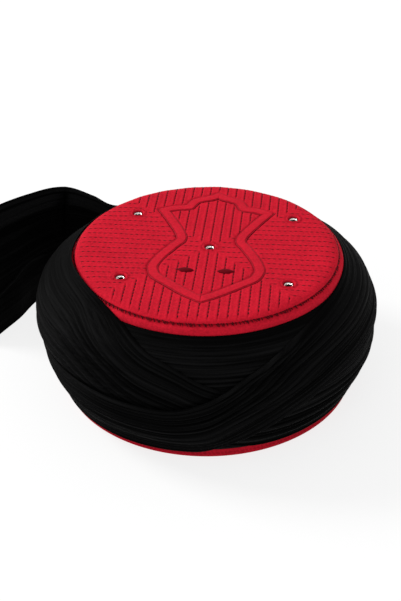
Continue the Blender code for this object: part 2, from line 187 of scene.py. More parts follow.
def finish_for(name, sheen=0.0, sheen_tint=(1.0, 1.0, 1.0, 1.0), specular=0.3, coat=0.0):
    """A Principled material, with its surface node and a value to start its other nodes from."""
    made = bpy.data.materials.new(name)
    made.use_nodes = True
    surface = made.node_tree.nodes["Principled BSDF"]
    surface.inputs["Specular IOR Level"].default_value = specular
    surface.inputs["Sheen Weight"].default_value = sheen
    surface.inputs["Sheen Roughness"].default_value = 0.4
    surface.inputs["Sheen Tint"].default_value = sheen_tint
    surface.inputs["Coat Weight"].default_value = coat
    start = Dye(made.node_tree, None)
    return made, surface, start


def lay_on(surface, label, value):
    """Feed a value, or a plain number, into one of the surface's sockets."""
    if isinstance(value, Dye):
        value.tree.links.new(value.out, surface.inputs[label])
    else:
        surface.inputs[label].default_value = value


def red_cloth(name, red, stitch_and_shade_red, roughness, twill):
    """Red cotton satin: a fine twill over a slow mottle. It is dark red where the stitch mark is 1, which holds the
    stitch lines and painted shade, and a little paler and pinker, a painted highlight, where the highlight mark is 1."""
    made, surface, start = finish_for(name, specular=0.015)
    place = start.add("ShaderNodeTexCoord", out=3)
    stitch = start.add("ShaderNodeAttribute", {"attribute_name": "stitch"}, out=2)
    painted_highlight = start.add("ShaderNodeAttribute", {"attribute_name": "painted_highlight"}, out=2)
    mottle = start.add("ShaderNodeTexNoise", vector=place, scale=60.0, detail=4.0, roughness=0.6)
    fine = start.add("ShaderNodeTexNoise", vector=place, scale=760.0, detail=2.0, roughness=0.5)
    x = start.add("ShaderNodeSeparateXYZ", out=0, vector=place)
    y = start.add("ShaderNodeSeparateXYZ", out=1, vector=place)
    z = start.add("ShaderNodeSeparateXYZ", out=2, vector=place)
    ribs = ((x + y * 0.8 + z * 1.3) * (2 * math.pi / twill)).maths("SINE")
    dark = tuple(c * 0.55 for c in red[:3]) + (1.0,)
    pale = tuple(c * 1.45 for c in red[:3]) + (1.0,)
    cloth = (mottle * 0.45 + fine * 0.95 + ribs * 0.09 - 0.20).blend(dark, pale)
    # A painted highlight: paler and pinker where the highlight mark is 1.
    cloth = (painted_highlight * 0.5).blend(cloth, (red[0] * 1.15, red[1] * 2.2, red[2] * 1.8, 1.0))
    # Dark red where the stitch mark is 1: the stitch lines, and painted shade in grooves, hollows and low on the wall.
    lay_on(surface, "Base Color", stitch.blend(cloth, stitch_and_shade_red))
    lay_on(surface, "Roughness", fine * 0.2 + (roughness - 0.1))
    relief = ribs * 0.5 + fine * 1.6
    bump = start.add("ShaderNodeBump", strength=0.35, distance=0.00022, height=relief)
    lay_on(surface, "Normal", bump)
    return made


RED = (0.470, 0.0085, 0.0215, 1.0)
# The dark red of the stitch lines, also used for painted shade.
STITCH_AND_SHADE_RED = (0.150, 0.0022, 0.0060, 1.0)
TWILL_PITCH = 0.0009

rim_low, wall_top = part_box("cap_wall")[0][2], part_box("cap_wall")[1][2]
rim_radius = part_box("cap_wall")[1][0]
crown_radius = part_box("crown")[1][0]
crown_low, crown_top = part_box("crown")[0][2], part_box("crown")[1][2]
WALL_THICKNESS = 0.0040
WALL_TAPER = 0.0100
HEM_STITCH = 0.0032


def wall_radius(z):
    """The cap's outer radius at a height: a straight taper from the rim to the seam."""
    return rim_radius - WALL_TAPER * z / wall_top


def make_cap_wall():
    """The wall as a ring: from the tuck under the crown, out over the fat roll, down the straight taper,
    round the turned-in rim and up the inside. Each point is a radius and a height, eased by wander()."""
    turn = np.linspace(0, 2 * np.pi, 540, endpoint=False)[:, None]
    roll_knots = np.array([0.0, 0.06, 0.14, 0.26, 0.42, 0.60, 0.80, 1.0])
    roll_z = wall_top + np.array([0.0002, 0.0002, -0.0004, -0.0016, -0.0036, -0.0062, -0.0095, -0.0130])
    roll_out = np.array([-0.0045, -0.0028, -0.0011, 0.0004, 0.0010, 0.0009, 0.0004, 0.0])
    s = np.linspace(0, 1, 28)
    z_roll = flowing(s, roll_knots, roll_z)
    r_roll = wall_radius(z_roll) + flowing(s, roll_knots, roll_out)
    z_side = np.linspace(0, 1, 40)[1:] ** 0.7
    z_side = z_roll[-1] + (0.0016 - z_roll[-1]) * z_side
    r_side = wall_radius(z_side)
    bend = np.linspace(0, np.pi, 14)[1:]
    r_rim = rim_radius - WALL_THICKNESS / 2 + WALL_THICKNESS / 2 * np.cos(bend)
    z_rim = 0.0016 - 0.0016 * np.sin(bend)
    z_in = np.linspace(0.0016, wall_top - 0.0006, 16)[1:]
    r_in = wall_radius(z_in) - WALL_THICKNESS
    r = np.concatenate([r_roll, r_side, r_rim, r_in])[None, :]
    z = np.concatenate([z_roll, z_side, z_rim, z_in])[None, :]
    outer = (np.arange(r.shape[1]) < len(r_roll) + len(r_side))[None, :]
    hem = np.exp(-((z - HEM_STITCH) / 0.0005) ** 2) * outer
    dash = step_up(np.sin(turn * 230), -0.5, 0.1)
    pucker = 0.00012 * np.sin(turn * 170 + 2 * wander(turn, 5)) * step_up(z, wall_top - 0.008, wall_top - 0.001)
    swell = 0.00035 * wander(turn, 3) * step_up(z, 0.02, 0.08)
    r = r + outer * (pucker + swell - hem * (0.0002 + 0.0002 * dash))
    z = z + 0 * turn
    points = around(r, turn, z)
    # The hem's stitch line, and painted shade low on the wall that darkens it towards the rim.
    stitch = np.maximum(0.8 * hem * dash, 0.3 * (1 - step_up(z, 0.006, 0.012)))
    # A painted highlight along the fat roll under the seam, uneven round the cap.
    painted_highlight = np.exp(-((z - wall_top + 0.0035) / 0.0018) ** 2) * (0.35 + 0.2 * wander(turn, 9)) + 0 * r
    marks = {"stitch": stitch, "painted_highlight": np.clip(painted_highlight * outer, 0, 1)}
    return sew("cap_side", points.reshape(-1, 3), cross(*points.shape[:2], True, True), marks)


cap_side = make_cap_wall()
wall_cloth = red_cloth("wall_satin", RED, STITCH_AND_SHADE_RED, 0.62, TWILL_PITCH)
cap_side.data.materials.append(wall_cloth)
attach(cap_side, "root")
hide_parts("cap_wall")

# The crown.
# A round of the same red cloth over thin wadding, quilted in rows of running stitch: they run front to back
# before and behind the middle and across at the sides, and meet on the diagonals. Its edge is rolled down.

QUILT_PITCH = 0.00595
QUILT_DEPTH = 0.00060
QUILT_DOME = 0.00030
ROW_WIDTH = 0.00042
CROWN_ROLL = 0.0090
CROWN_DROP = 0.0028
EYELET_SEAT = 0.0031
EYELET_PUCKER = 0.0047
EYELET_SINK = 0.0015
EMBLEM_X = 0.0022
EMBLEM_FOOT = -0.0666
EMBLEM_LENGTH = 0.1402
EMBLEM_WIDTH = 0.0792
EMBLEM_BAND = 0.0066
EMBLEM_PUFF = 0.0004
OUTLINE_WIDTH = 0.00060
# Half of the outline from foot to tip: shares of half the width and of the length, and 1 where it is sharp.
EMBLEM_OUTLINE = np.array([
    (0.000, 0.000, 1), (0.303, 0.058, 0), (0.581, 0.126, 0), (0.833, 0.190, 0), (0.920, 0.248, 0),
    (0.930, 0.300, 0), (0.833, 0.386, 0), (0.669, 0.482, 0), (0.575, 0.549, 0), (0.770, 0.682, 0),
    (1.000, 0.807, 1), (0.758, 0.843, 0), (0.530, 0.858, 1), (0.455, 0.908, 0), (0.341, 0.936, 0),
    (0.139, 0.963, 0), (0.000, 1.000, 1),
])
eyelet_nodes = [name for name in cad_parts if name.startswith("eyelet")]


def middle(node):
    """The middle of a CAD node's box, seen from above."""
    low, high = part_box(node)
    return (low[0] + high[0]) / 2, (low[1] + high[1]) / 2


quilt_x, quilt_y = middle("eyelet_middle")


def outline_runs(steps):
    """The emblem's outline as smooth runs between its corners, right half from the foot up to the tip and
    left half back down. In a run the points lie on cubic pieces through the table's rows."""
    corners = np.flatnonzero(EMBLEM_OUTLINE[:, 2])
    runs = []
    for first, last in zip(corners, corners[1:]):
        rows = EMBLEM_OUTLINE[first:last + 1, :2]
        at = np.linspace(0, len(rows) - 1, (len(rows) - 1) * steps + 1)
        half = flowing(at, np.arange(len(rows)), rows[:, 0]) * EMBLEM_WIDTH / 2
        up = EMBLEM_FOOT + flowing(at, np.arange(len(rows)), rows[:, 1]) * EMBLEM_LENGTH
        runs.append(np.stack([half, up], axis=1))
    back = [run[::-1] * [-1, 1] for run in runs[::-1]]
    return [run + [EMBLEM_X, 0] for run in runs + back]


emblem_line = np.concatenate([run[:-1] for run in outline_runs(6)])


def inside_outline(x, y):
    """How far a place lies inside the emblem's outline, negative outside it: the least distance to its
    straight pieces, with the sign from counting the pieces that a line to +X crosses."""
    px, py = emblem_line[:, 0], emblem_line[:, 1]
    qx, qy = np.roll(px, -1), np.roll(py, -1)
    place_x, place_y = x.reshape(-1, 1), y.reshape(-1, 1)
    length = (qx - px) ** 2 + (qy - py) ** 2
    t = np.clip(((place_x - px) * (qx - px) + (place_y - py) * (qy - py)) / length, 0, 1)
    away = np.hypot(place_x - px - t * (qx - px), place_y - py - t * (qy - py)).min(axis=1)
    spans = (py > place_y) != (qy > place_y)
    crossing = px + (place_y - py) * (qx - px) / np.where(qy == py, 1, qy - py)
    inside = (spans & (place_x < crossing)).sum(axis=1) % 2
    return (away * np.where(inside == 1, 1, -1)).reshape(x.shape)


def eyelet_pull(x, y):
    """The hollow that each eyelet pulls into the crown and the puckered ring of cloth about it, and the
    ring's share there."""
    hollow, ring = np.zeros_like(x), np.zeros_like(x)
    for node in eyelet_nodes:
        ex, ey = middle(node)
        out = np.hypot(x - ex, y - ey)
        turn = np.arctan2(y - ey, x - ex)
        gathers = 1 + 0.35 * np.sin(9 * turn + ex * 900) + 0.2 * np.sin(5 * turn + ey * 700)
        hollow -= EYELET_SINK * (1 - step_up(out, EYELET_SEAT, EYELET_PUCKER))
        ring += np.exp(-((out - EYELET_PUCKER) / 0.0008) ** 2) * gathers
    return hollow + 0.00050 * ring, np.clip(ring, 0, 1)


def nearest_eyelet(x, y):
    """The distance to the nearest eyelet's middle."""
    return np.min([np.hypot(x - ex, y - ey) for ex, ey in map(middle, eyelet_nodes)], axis=0)


def crown_skin(x, y, across, depth, cover=None):
    """The crown's top at a place that lies a distance across its sector's middle row. It is the sum of flat ribs
    between narrow grooves a pitch apart, a groove along both edges of the emblem's band, the pull of the eyelets, a
    slow unevenness, and an edge that rolls down along a quarter of an ellipse. With it come the share of dark colour
    there, for the stitched grooves and for painted shade in them, in the eyelets' hollows and at the edge of their
    gathers, and the share of the ribs."""
    off = across - np.round(across / QUILT_PITCH) * QUILT_PITCH
    groove = np.exp(-(off / ROW_WIDTH) ** 2)
    rib = 1 - np.abs(2 * off / QUILT_PITCH) ** 2.5
    into = inside_outline(x, y) if cover is None else cover
    under = step_up(into, 0.0001, 0.0010) * (1 - step_up(into, EMBLEM_BAND - 0.0010, EMBLEM_BAND - 0.0001))
    line = np.exp(-(into / OUTLINE_WIDTH) ** 2) + np.exp(-((into - EMBLEM_BAND) / OUTLINE_WIDTH) ** 2)
    beside = np.exp(-(into / 0.0012) ** 2) + np.exp(-((into - EMBLEM_BAND) / 0.0012) ** 2)
    r = np.hypot(x, y)
    rim = step_up(r, crown_radius - 0.0036, crown_radius - 0.0010)
    hollow, ring = eyelet_pull(x, y)
    plain = (1 - 0.9 * ring) * (1 - np.clip(beside, 0, 1))
    plain = plain * step_up(nearest_eyelet(x, y), EYELET_SEAT, EYELET_PUCKER)
    seam = np.abs(np.abs(x - quilt_x) - np.abs(y - quilt_y))
    depth = LOOSE_SECTOR + (depth - LOOSE_SECTOR) * step_up(seam, 0, 0.0024)
    quilt = (QUILT_DOME * rib - QUILT_DEPTH * depth * groove) * plain * (1 - 0.7 * rim)
    out = np.clip((r - (crown_radius - CROWN_ROLL)) / CROWN_ROLL, 0, 1)
    roll = -CROWN_DROP * (1 - np.sqrt(1 - out ** 2))
    slow = 0.00016 * np.sin(x * 95 + 1.3) * np.sin(y * 80 + 0.4) + 0.00008 * np.sin(x * 310 + y * 170)
    z = crown_top - 0.0003 + quilt + hollow + roll + slow - 0.0009 * line - 0.0009 * under
    # Dark in the rows' grooves and along the emblem's outline: the stitch lines, with painted shade in the grooves.
    stitch_and_shade = 0.58 * depth * groove * plain * (1 - rim) + 0.9 * np.clip(line, 0, 1)
    # Painted shade along the outer edge of each eyelet's gathers and in the hollow about it.
    gather_edge_shade = np.exp(-((nearest_eyelet(x, y) - EYELET_PUCKER - 0.0008) / 0.0006) ** 2)
    stitch_and_shade = stitch_and_shade + 0.8 * gather_edge_shade + 0.9 * step_up(-hollow, 0.0002, 0.0012)
    return z, np.clip(stitch_and_shade, 0, 1), np.clip(rib, 0, 1) * (1 - rim)


# The rows before and behind the middle are sewn tight, those at the sides more loosely.
LOOSE_SECTOR = 0.55
SECTOR_DEPTH = (1.0, LOOSE_SECTOR, 1.0, LOOSE_SECTOR)


def sector_turn(quarter):
    """The cosine and sine that turn a sector, drawn facing -Y, to its side of the crown."""
    return (1, 0, -1, 0)[quarter], (0, 1, 0, -1)[quarter]


def make_crown():
    """Four sectors that meet on the diagonals through the middle eyelet. In a sector the columns are
    straight lines along its stitch rows, closest together at the rows, and run from the diagonals to the
    edge of the disc. From there they drop to the seam and run in beneath to the axis."""
    between = np.array([0.0, 0.05, 0.10, 0.17, 0.30, 0.50, 0.70, 0.83, 0.90, 0.95])
    offsets = (np.arange(-14, 14)[:, None] + between).ravel() * QUILT_PITCH
    rows = 100
    base = 0
    all_points, all_faces, stitch_and_shade_rows, ribs = [], [], [], []
    for quarter in range(4):
        cos, sin = sector_turn(quarter)
        cu, cv = quilt_x * cos + quilt_y * sin, quilt_y * cos - quilt_x * sin
        rest = 2 * (cu * cu + cv * cv - crown_radius ** 2)
        right = (cv - cu + math.sqrt((cv - cu) ** 2 - rest)) / 2
        left = -(cv + cu + math.sqrt((cv + cu) ** 2 - rest)) / 2
        kept = offsets[(offsets > left + 0.0002) & (offsets < right - 0.0002)]
        across = np.concatenate([[left], kept, [right]])[None, :]
        u = cu + across
        start = cv - np.abs(across)
        end = -np.sqrt(crown_radius ** 2 - u ** 2)
        share = 1 - (1 - np.linspace(0, 1, rows)[:, None]) ** 1.15
        v = start + (end - start) * share
        u = u + 0 * v
        x, y = u * cos - v * sin, u * sin + v * cos
        z, stitch_and_shade, rib = crown_skin(x, y, u - cu, SECTOR_DEPTH[quarter])
        edge = np.arctan2(y[-1:], x[-1:])
        skirt_r = crown_radius - np.array([0.0001, 0.0006, 0.0016, 0.0120, 0.0400, crown_radius])[:, None]
        skirt_z = crown_low + np.array([0.0009, 0.0003, 0, 0, 0, 0])[:, None]
        points = np.concatenate([np.stack([x, y, z], axis=-1), around(skirt_r, edge, skirt_z)])
        skirt = np.zeros((len(skirt_r), x.shape[1]))
        all_points.append(points.reshape(-1, 3))
        all_faces.append(cross(*points.shape[:2], offset=base))
        stitch_and_shade_rows.append(np.vstack([stitch_and_shade, skirt]).ravel())
        ribs.append(np.vstack([rib, skirt]).ravel())
        base += points.shape[0] * points.shape[1]
    # Stitch lines with painted shade in their grooves and hollows, and a painted highlight on the ribs' tops.
    marks = {"stitch": np.concatenate(stitch_and_shade_rows) * 0.6, "painted_highlight": np.concatenate(ribs) * 0.25}
    return sew("crown_quilt", np.concatenate(all_points), np.concatenate(all_faces), marks, 0.000004)


def punch_holes(cloth):
    """Cut the five eyelets' barrels out of the crown: one mesh of five upright prisms, taken away from it
    with an exact boolean that is applied at once."""
    turn = np.linspace(0, 2 * np.pi, 24, endpoint=False)
    prisms, faces, ends = [], [], []
    for k, (ex, ey) in enumerate(map(middle, eyelet_nodes)):
        for z in (crown_low - 0.002, crown_top + 0.002):
            prisms.append(around(HOLE_RADIUS, turn, z) + [ex, ey, 0])
        faces.append(cross(2, 24, False, True, offset=48 * k)[:, ::-1])
        ends += [np.arange(24)[::-1] + 48 * k, np.arange(24, 48) + 48 * k]
    punch = sew("hole_punch", np.concatenate(prisms), np.concatenate(faces)[:, ::-1], ends=ends)
    cut = cloth.modifiers.new("holes", "BOOLEAN")
    cut.operation = "DIFFERENCE"
    cut.solver = "EXACT"
    cut.object = punch
    whole = cloth.data
    cloth.data = bpy.data.meshes.new_from_object(cloth.evaluated_get(bpy.context.evaluated_depsgraph_get()))
    cloth.modifiers.clear()
    bpy.data.meshes.remove(whole)
    bpy.data.objects.remove(punch)
    cloth.data.name = "crown_quilt"


HOLE_RADIUS = 0.00215
crown_quilt = make_crown()
punch_holes(crown_quilt)
crown_cloth = red_cloth("crown_satin", RED, STITCH_AND_SHADE_RED, 0.66, TWILL_PITCH)
crown_quilt.data.materials.append(crown_cloth)
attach(crown_quilt, "root")
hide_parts("crown")

# The quilting thread.
# Dark red thread in running stitch along every row. Each stitch is a short bead of thread that sinks at
# both ends.

STITCH_PITCH = 0.0035
STITCH_LENGTH = 0.0021
THREAD_RADIUS = 0.00038
THREAD_RED = (0.038, 0.0008, 0.0026, 1.0)


def thread_finish(name, shade, gloss=0.08):
    """Mercerised thread: darker and paler by turns along its twist, with a soft gloss."""
    made, surface, start = finish_for(name, specular=gloss)
    place = start.add("ShaderNodeTexCoord", out=3)
    twist = start.add("ShaderNodeTexNoise", vector=place, scale=2600.0, detail=2.0, roughness=0.5)
    pale = tuple(c * 1.9 for c in shade[:3]) + (1.0,)
    lay_on(surface, "Base Color", twist.blend(shade, pale))
    lay_on(surface, "Roughness", twist * 0.2 + 0.45)
    lay_on(surface, "Normal", start.add("ShaderNodeBump", strength=0.3, distance=0.0001, height=twist))
    return made


def beads(name, starts, ends, lift, radius, finish, sides=6):
    """One bead of thread from each start to its end: rings of points about the line between them, raised
    by lift times a half sine, with a radius that falls to a third at both tips."""
    along = np.array([0.0, 0.12, 0.5, 0.88, 1.0])
    thick = np.array([0.35, 0.85, 1.0, 0.85, 0.35]) * radius
    centre = starts[:, None, :] + (ends - starts)[:, None, :] * along[None, :, None]
    centre[:, :, 2] += lift * np.sin(np.pi * along)
    way = (ends - starts) / np.linalg.norm(ends - starts, axis=1, keepdims=True)
    side = np.cross(way, [0, 0, 1.0])
    side /= np.linalg.norm(side, axis=1, keepdims=True)
    rise = np.cross(side, way)
    turn = np.arange(sides) * 2 * np.pi / sides
    ring = side[:, None, :] * np.cos(turn)[None, :, None] + rise[:, None, :] * np.sin(turn)[None, :, None]
    points = centre[:, :, None, :] + ring[:, None, :, :] * thick[None, :, None, None]
    one = cross(len(along), sides, round_columns=True)
    count = len(along) * sides
    faces = (one[None] + np.arange(len(starts))[:, None, None] * count).reshape(-1, 4)
    half = sides // 2
    caps = []
    for ring_start, flip in ((0, True), (count - sides, False)):
        for k in range(half - 1):
            four = np.array([k, k + 1, sides - 2 - k, sides - 1 - k]) + ring_start
            caps.append(four[::-1] if flip else four)
    ends_faces = (np.array(caps)[None] + np.arange(len(starts))[:, None, None] * count).reshape(-1, 4)
    piece = sew(name, points.reshape(-1, 3), np.concatenate([faces, ends_faces])[:, ::-1])
    piece.data.materials.append(finish)
    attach(piece, "root")
    return piece


def quilting_places():
    """The middle of each stitch on the crown, and the way its row runs: steps of a pitch out from the
    diagonal along each row, without those under the emblem's band, by an eyelet or on the rolled edge."""
    middles, ways = [], []
    for quarter in range(4):
        cos, sin = sector_turn(quarter)
        cu, cv = quilt_x * cos + quilt_y * sin, quilt_y * cos - quilt_x * sin
        row = np.arange(-14, 15)[:, None]
        step = np.arange(60)[None, :]
        across = row * QUILT_PITCH + 0 * step
        first = np.modf(np.abs(row) * 0.618)[0] * 0.6 + 0.5
        v = cv - np.abs(across) - (step + first) * STITCH_PITCH
        u = cu + across
        x, y = u * cos - v * sin, u * sin + v * cos
        x, y, across = x.ravel(), y.ravel(), across.ravel()
        into = inside_outline(x, y)
        clear = np.minimum(np.abs(into), np.abs(into - EMBLEM_BAND)) > 0.0013
        clear &= (into < 0) | (into > EMBLEM_BAND)
        kept = clear & (nearest_eyelet(x, y) > 0.0064) & (np.hypot(x, y) < crown_radius - 0.0030)
        z, _, _ = crown_skin(x[kept], y[kept], across[kept], SECTOR_DEPTH[quarter], into[kept])
        sunk = THREAD_RADIUS * (1.3 * SECTOR_DEPTH[quarter] - 0.95)
        middles.append(np.stack([x[kept], y[kept], z + sunk], axis=1))
        ways.append(np.tile([sin, -cos, 0.0], (kept.sum(), 1)))
    return np.concatenate(middles), np.concatenate(ways)


quilting_thread = thread_finish("quilting_thread", THREAD_RED)
stitch_middles, stitch_ways = quilting_places()
half_stitch = stitch_ways * STITCH_LENGTH / 2
row_stitches = beads(
    "row_stitches", stitch_middles - half_stitch, stitch_middles + half_stitch,
    0.0001, THREAD_RADIUS, quilting_thread,
)

# The seam between crown and wall.
# The crown's edge is overcast to the wall with short slanting stitches of the dark thread, a little
# uneven, close enough to read as one ragged line.

SEAM_STITCHES = 300
seam_turn = np.arange(SEAM_STITCHES) * 2 * np.pi / SEAM_STITCHES
uneven, slant, sag = np.random.default_rng(71).uniform(-1, 1, (3, SEAM_STITCHES)) * [[0.0003], [0.014], [0.0004]]
seam_top = around(crown_radius - 0.0008 + uneven, seam_turn, crown_low + 0.0013 + sag)
seam_foot = around(crown_radius + 0.0010 + uneven, seam_turn + 0.0200 + slant, wall_top - 0.0002 - 0.5 * sag)
seam_stitches = beads("seam_stitches", seam_top, seam_foot, 0.0004, 0.00032, quilting_thread)

# The emblem's band.
# A traditional sandal-shaped outline in a strip of the same satin, lightly padded and stitched down along
# both edges with a fine red cord.

CORD_RADIUS = 0.00030
CORD_RED = (0.240, 0.0060, 0.0150, 1.0)


def emblem_rows(steps):
    """Rows across the band for every point of its outline. Each row runs inwards along the normal, stops at the mitre
    line of a corner that it meets, and at an inward corner turns to the mitre itself. It returns the outline's points,
    the way inwards at each, and how far each row reaches."""
    runs = outline_runs(steps)
    starts, ways, reaches = [], [], []
    for k, run in enumerate(runs):
        before, after = runs[k - 1], runs[(k + 1) % len(runs)]
        tangent = np.gradient(run, axis=0)
        tangent[0] = run[1] - run[0]
        tangent[-1] = run[-1] - run[-2]
        tangent /= np.linalg.norm(tangent, axis=1, keepdims=True)
        way = np.stack([-tangent[:, 1], tangent[:, 0]], axis=1)
        reach = np.full(len(run), EMBLEM_BAND)
        ends = ((0, before[-1] - before[-2], tangent[0]), (-1, tangent[-1], after[1] - after[0]))
        for at, came, goes in ends:
            came, goes = came / np.linalg.norm(came), goes / np.linalg.norm(goes)
            mitre = np.array([-(came[1] + goes[1]), came[0] + goes[0]])
            mitre /= np.linalg.norm(mitre)
            opens = came[0] * goes[1] - came[1] * goes[0]
            corner = run[at]
            if opens > 0:
                across = way[:, 0] * mitre[1] - way[:, 1] * mitre[0]
                gap = (corner[0] - run[:, 0]) * mitre[1] - (corner[1] - run[:, 1]) * mitre[0]
                meet = gap / np.where(np.abs(across) < 1e-9, 1e-9, across)
                along = (run + way * meet[:, None] - corner) @ mitre
                near = (meet >= -1e-9) & (along > -1e-9)
                reach = np.where(near, np.minimum(reach, np.maximum(meet, 0)), reach)
            else:
                own = way[at].copy()
                way[at] = mitre / (mitre @ own)
        starts.append(run)
        ways.append(way)
        reaches.append(reach)
    return np.concatenate(starts), np.concatenate(ways), np.concatenate(reaches)


def band_height(into):
    """The band's top above the crown's own, from its outer edge: sunk at both stitched edges, and between
    them a flat cushion that rises steeply at its sides."""
    edge = np.minimum(into, EMBLEM_BAND - into)
    side = np.sqrt(1 - (1 - np.clip(edge / 0.0007, 0, 1)) ** 2)
    return -0.0010 + (EMBLEM_PUFF + 0.0010) * side + 0.00015 * np.sin(np.pi * into / EMBLEM_BAND)


def make_band():
    """A closed strip: its top rows follow band_height, and its underside lies flat below them."""
    start, way, reach = emblem_rows(10)
    share = np.array([0, 0.02, 0.05, 0.09, 0.14, 0.2, 0.3, 0.42, 0.5, 0.58, 0.7, 0.8, 0.86, 0.91, 0.95, 0.98, 1])
    into = np.minimum(share[None, :] * EMBLEM_BAND, np.maximum(reach[:, None] - 0.00004, 0.00002))
    flat = start[:, None, :] + way[:, None, :] * into[:, :, None]
    x, y = flat[..., 0], flat[..., 1]
    along = np.cumsum(np.r_[0, np.linalg.norm(np.diff(start, axis=0), axis=1)])[:, None]
    hollow, _ = eyelet_pull(x, y)
    lumps = 0.00004 * np.sin(along * 420) * np.sin(np.pi * into / EMBLEM_BAND)
    top = crown_top - 0.0003 + band_height(into) + hollow + lumps
    under = np.stack([x, y, np.full_like(x, crown_top - 0.0019)], axis=-1)[:, ::-1]
    points = np.concatenate([np.stack([x, y, top], axis=-1), under], axis=1)
    edge = np.minimum(into, EMBLEM_BAND - into)
    # Dark at both edges for the stitch lines, with painted shade where the edges sink, and a painted highlight on the
    # cushion between them.
    stitch = np.concatenate([0.95 * np.exp(-(edge / 0.0005) ** 2), 0 * into], axis=1)
    painted_highlight = np.concatenate([step_up(edge, 0.0004, 0.0012) * 0.25, 0 * into], axis=1)
    marks = {"stitch": stitch, "painted_highlight": painted_highlight}
    faces = cross(points.shape[0], points.shape[1], True, True)[:, ::-1]
    return sew("emblem_strip", points.reshape(-1, 3), faces, marks, 0.000002)


def edge_cord(name, depth):
    """A fine cord along the band at a depth inside its outline: a six-sided tube whose radius swells at
    each twist. Rows that stop short at a mitre are left out."""
    start, way, reach = emblem_rows(16)
    kept = reach >= depth - 1e-7
    line = (start + way * depth)[kept]
    apart = np.linalg.norm(line - np.roll(line, 1, axis=0), axis=1) > 0.00012
    line = line[apart]
    length = np.cumsum(np.r_[0, np.linalg.norm(np.diff(line, axis=0), axis=1)])
    way = np.roll(line, -1, axis=0) - np.roll(line, 1, axis=0)
    way /= np.linalg.norm(way, axis=1, keepdims=True)
    turn = np.arange(6) * np.pi / 3
    radius = CORD_RADIUS * (0.85 + 0.15 * np.sin(length * 6.283 / 0.0011))[:, None]
    x = line[:, :1] - way[:, 1:] * radius * np.cos(turn)
    y = line[:, 1:] + way[:, :1] * radius * np.cos(turn)
    z = crown_top - 0.0004 + radius * np.sin(turn)
    points = np.stack([x, y, z], axis=-1)
    return sew(name, points.reshape(-1, 3), cross(len(line), 6, True, True))


emblem_strip = make_band()
emblem_strip.data.materials.append(red_cloth("emblem_satin", RED, STITCH_AND_SHADE_RED, 0.56, TWILL_PITCH))
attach(emblem_strip, "root")
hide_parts("emblem_band")
cord_finish = thread_finish("outline_cord", CORD_RED)
for cord_name, depth in (("outer_edge_cord", 0.0), ("inner_edge_cord", EMBLEM_BAND)):
    cord = edge_cord(cord_name, depth)
    cord.data.materials.append(cord_finish)
    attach(cord, "root")

# The two embroidered lenses.
# Satin stitch in the dark thread, thickest in the middle of each lens. A few loose threads trail from the
# left one's outer tip.

LENS_RED = (0.075, 0.0010, 0.0035, 1.0)


def make_lens(node, side):
    """A lens between two equal arcs: across its length the half width is w(1 - t^2), the height is
    h sqrt((1 - t^2)(1 - s^2)), and shallow ridges run across it as the threads do."""
    low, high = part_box(node)
    mx, my = (low[0] + high[0]) / 2, (low[1] + high[1]) / 2
    half_length, half_width = (high[0] - low[0]) / 2, (high[1] - low[1]) * 0.56
    t = np.linspace(-1, 1, 65)[:, None]
    s = np.linspace(-1, 1, 13)[None, :]
    x = mx + half_length * t + 0 * s
    wide = half_width * (1 - t ** 2) ** 0.9
    y = my + wide * s
    dome = np.sqrt(np.clip((1 - t ** 2) * (1 - s ** 2), 0, 1))
    threads = 0.00005 * np.sin(x * 6.283 / 0.00055 + 1.2 * s)
    top = crown_top - 0.0001 + dome * (0.0012 + threads)
    bottom = np.full_like(top, crown_top - 0.0012)
    points = np.concatenate([np.stack([x, y, top], axis=-1), np.stack([x, y, bottom], axis=-1)[:, ::-1]], axis=1)
    faces = cross(points.shape[0], points.shape[1], False, True)[:, ::-1]
    piece = sew(node.replace("stitch", "embroidery"), points.reshape(-1, 3), faces, None, 0.000002)
    piece.data.materials.append(thread_finish(node + "_silk", LENS_RED, 0.03))
    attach(piece, "root")
    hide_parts(node)
    return mx + side * half_length, my


left_tip_x, left_tip_y = make_lens("lens_stitch_left", -1)
make_lens("lens_stitch_right", 1)
tip = np.array([left_tip_x + 0.0016, left_tip_y, crown_top - 0.0002])
whisker_reach = np.array([(-0.0048, 0.0010, -0.0001), (-0.0040, -0.0006, -0.0002), (-0.0030, 0.0017, -0.0002)])
whiskers = beads(
    "lens_whiskers", np.tile(tip, (3, 1)), tip + whisker_reach, 0.0002, 0.00022,
    thread_finish("whisker_silk", LENS_RED), 6,
)

# The five eyelets.
# Pressed brass, nickelled and bright: each barrel goes through crown and lining, and its flange is turned
# over outwards and pressed down on the cloth.


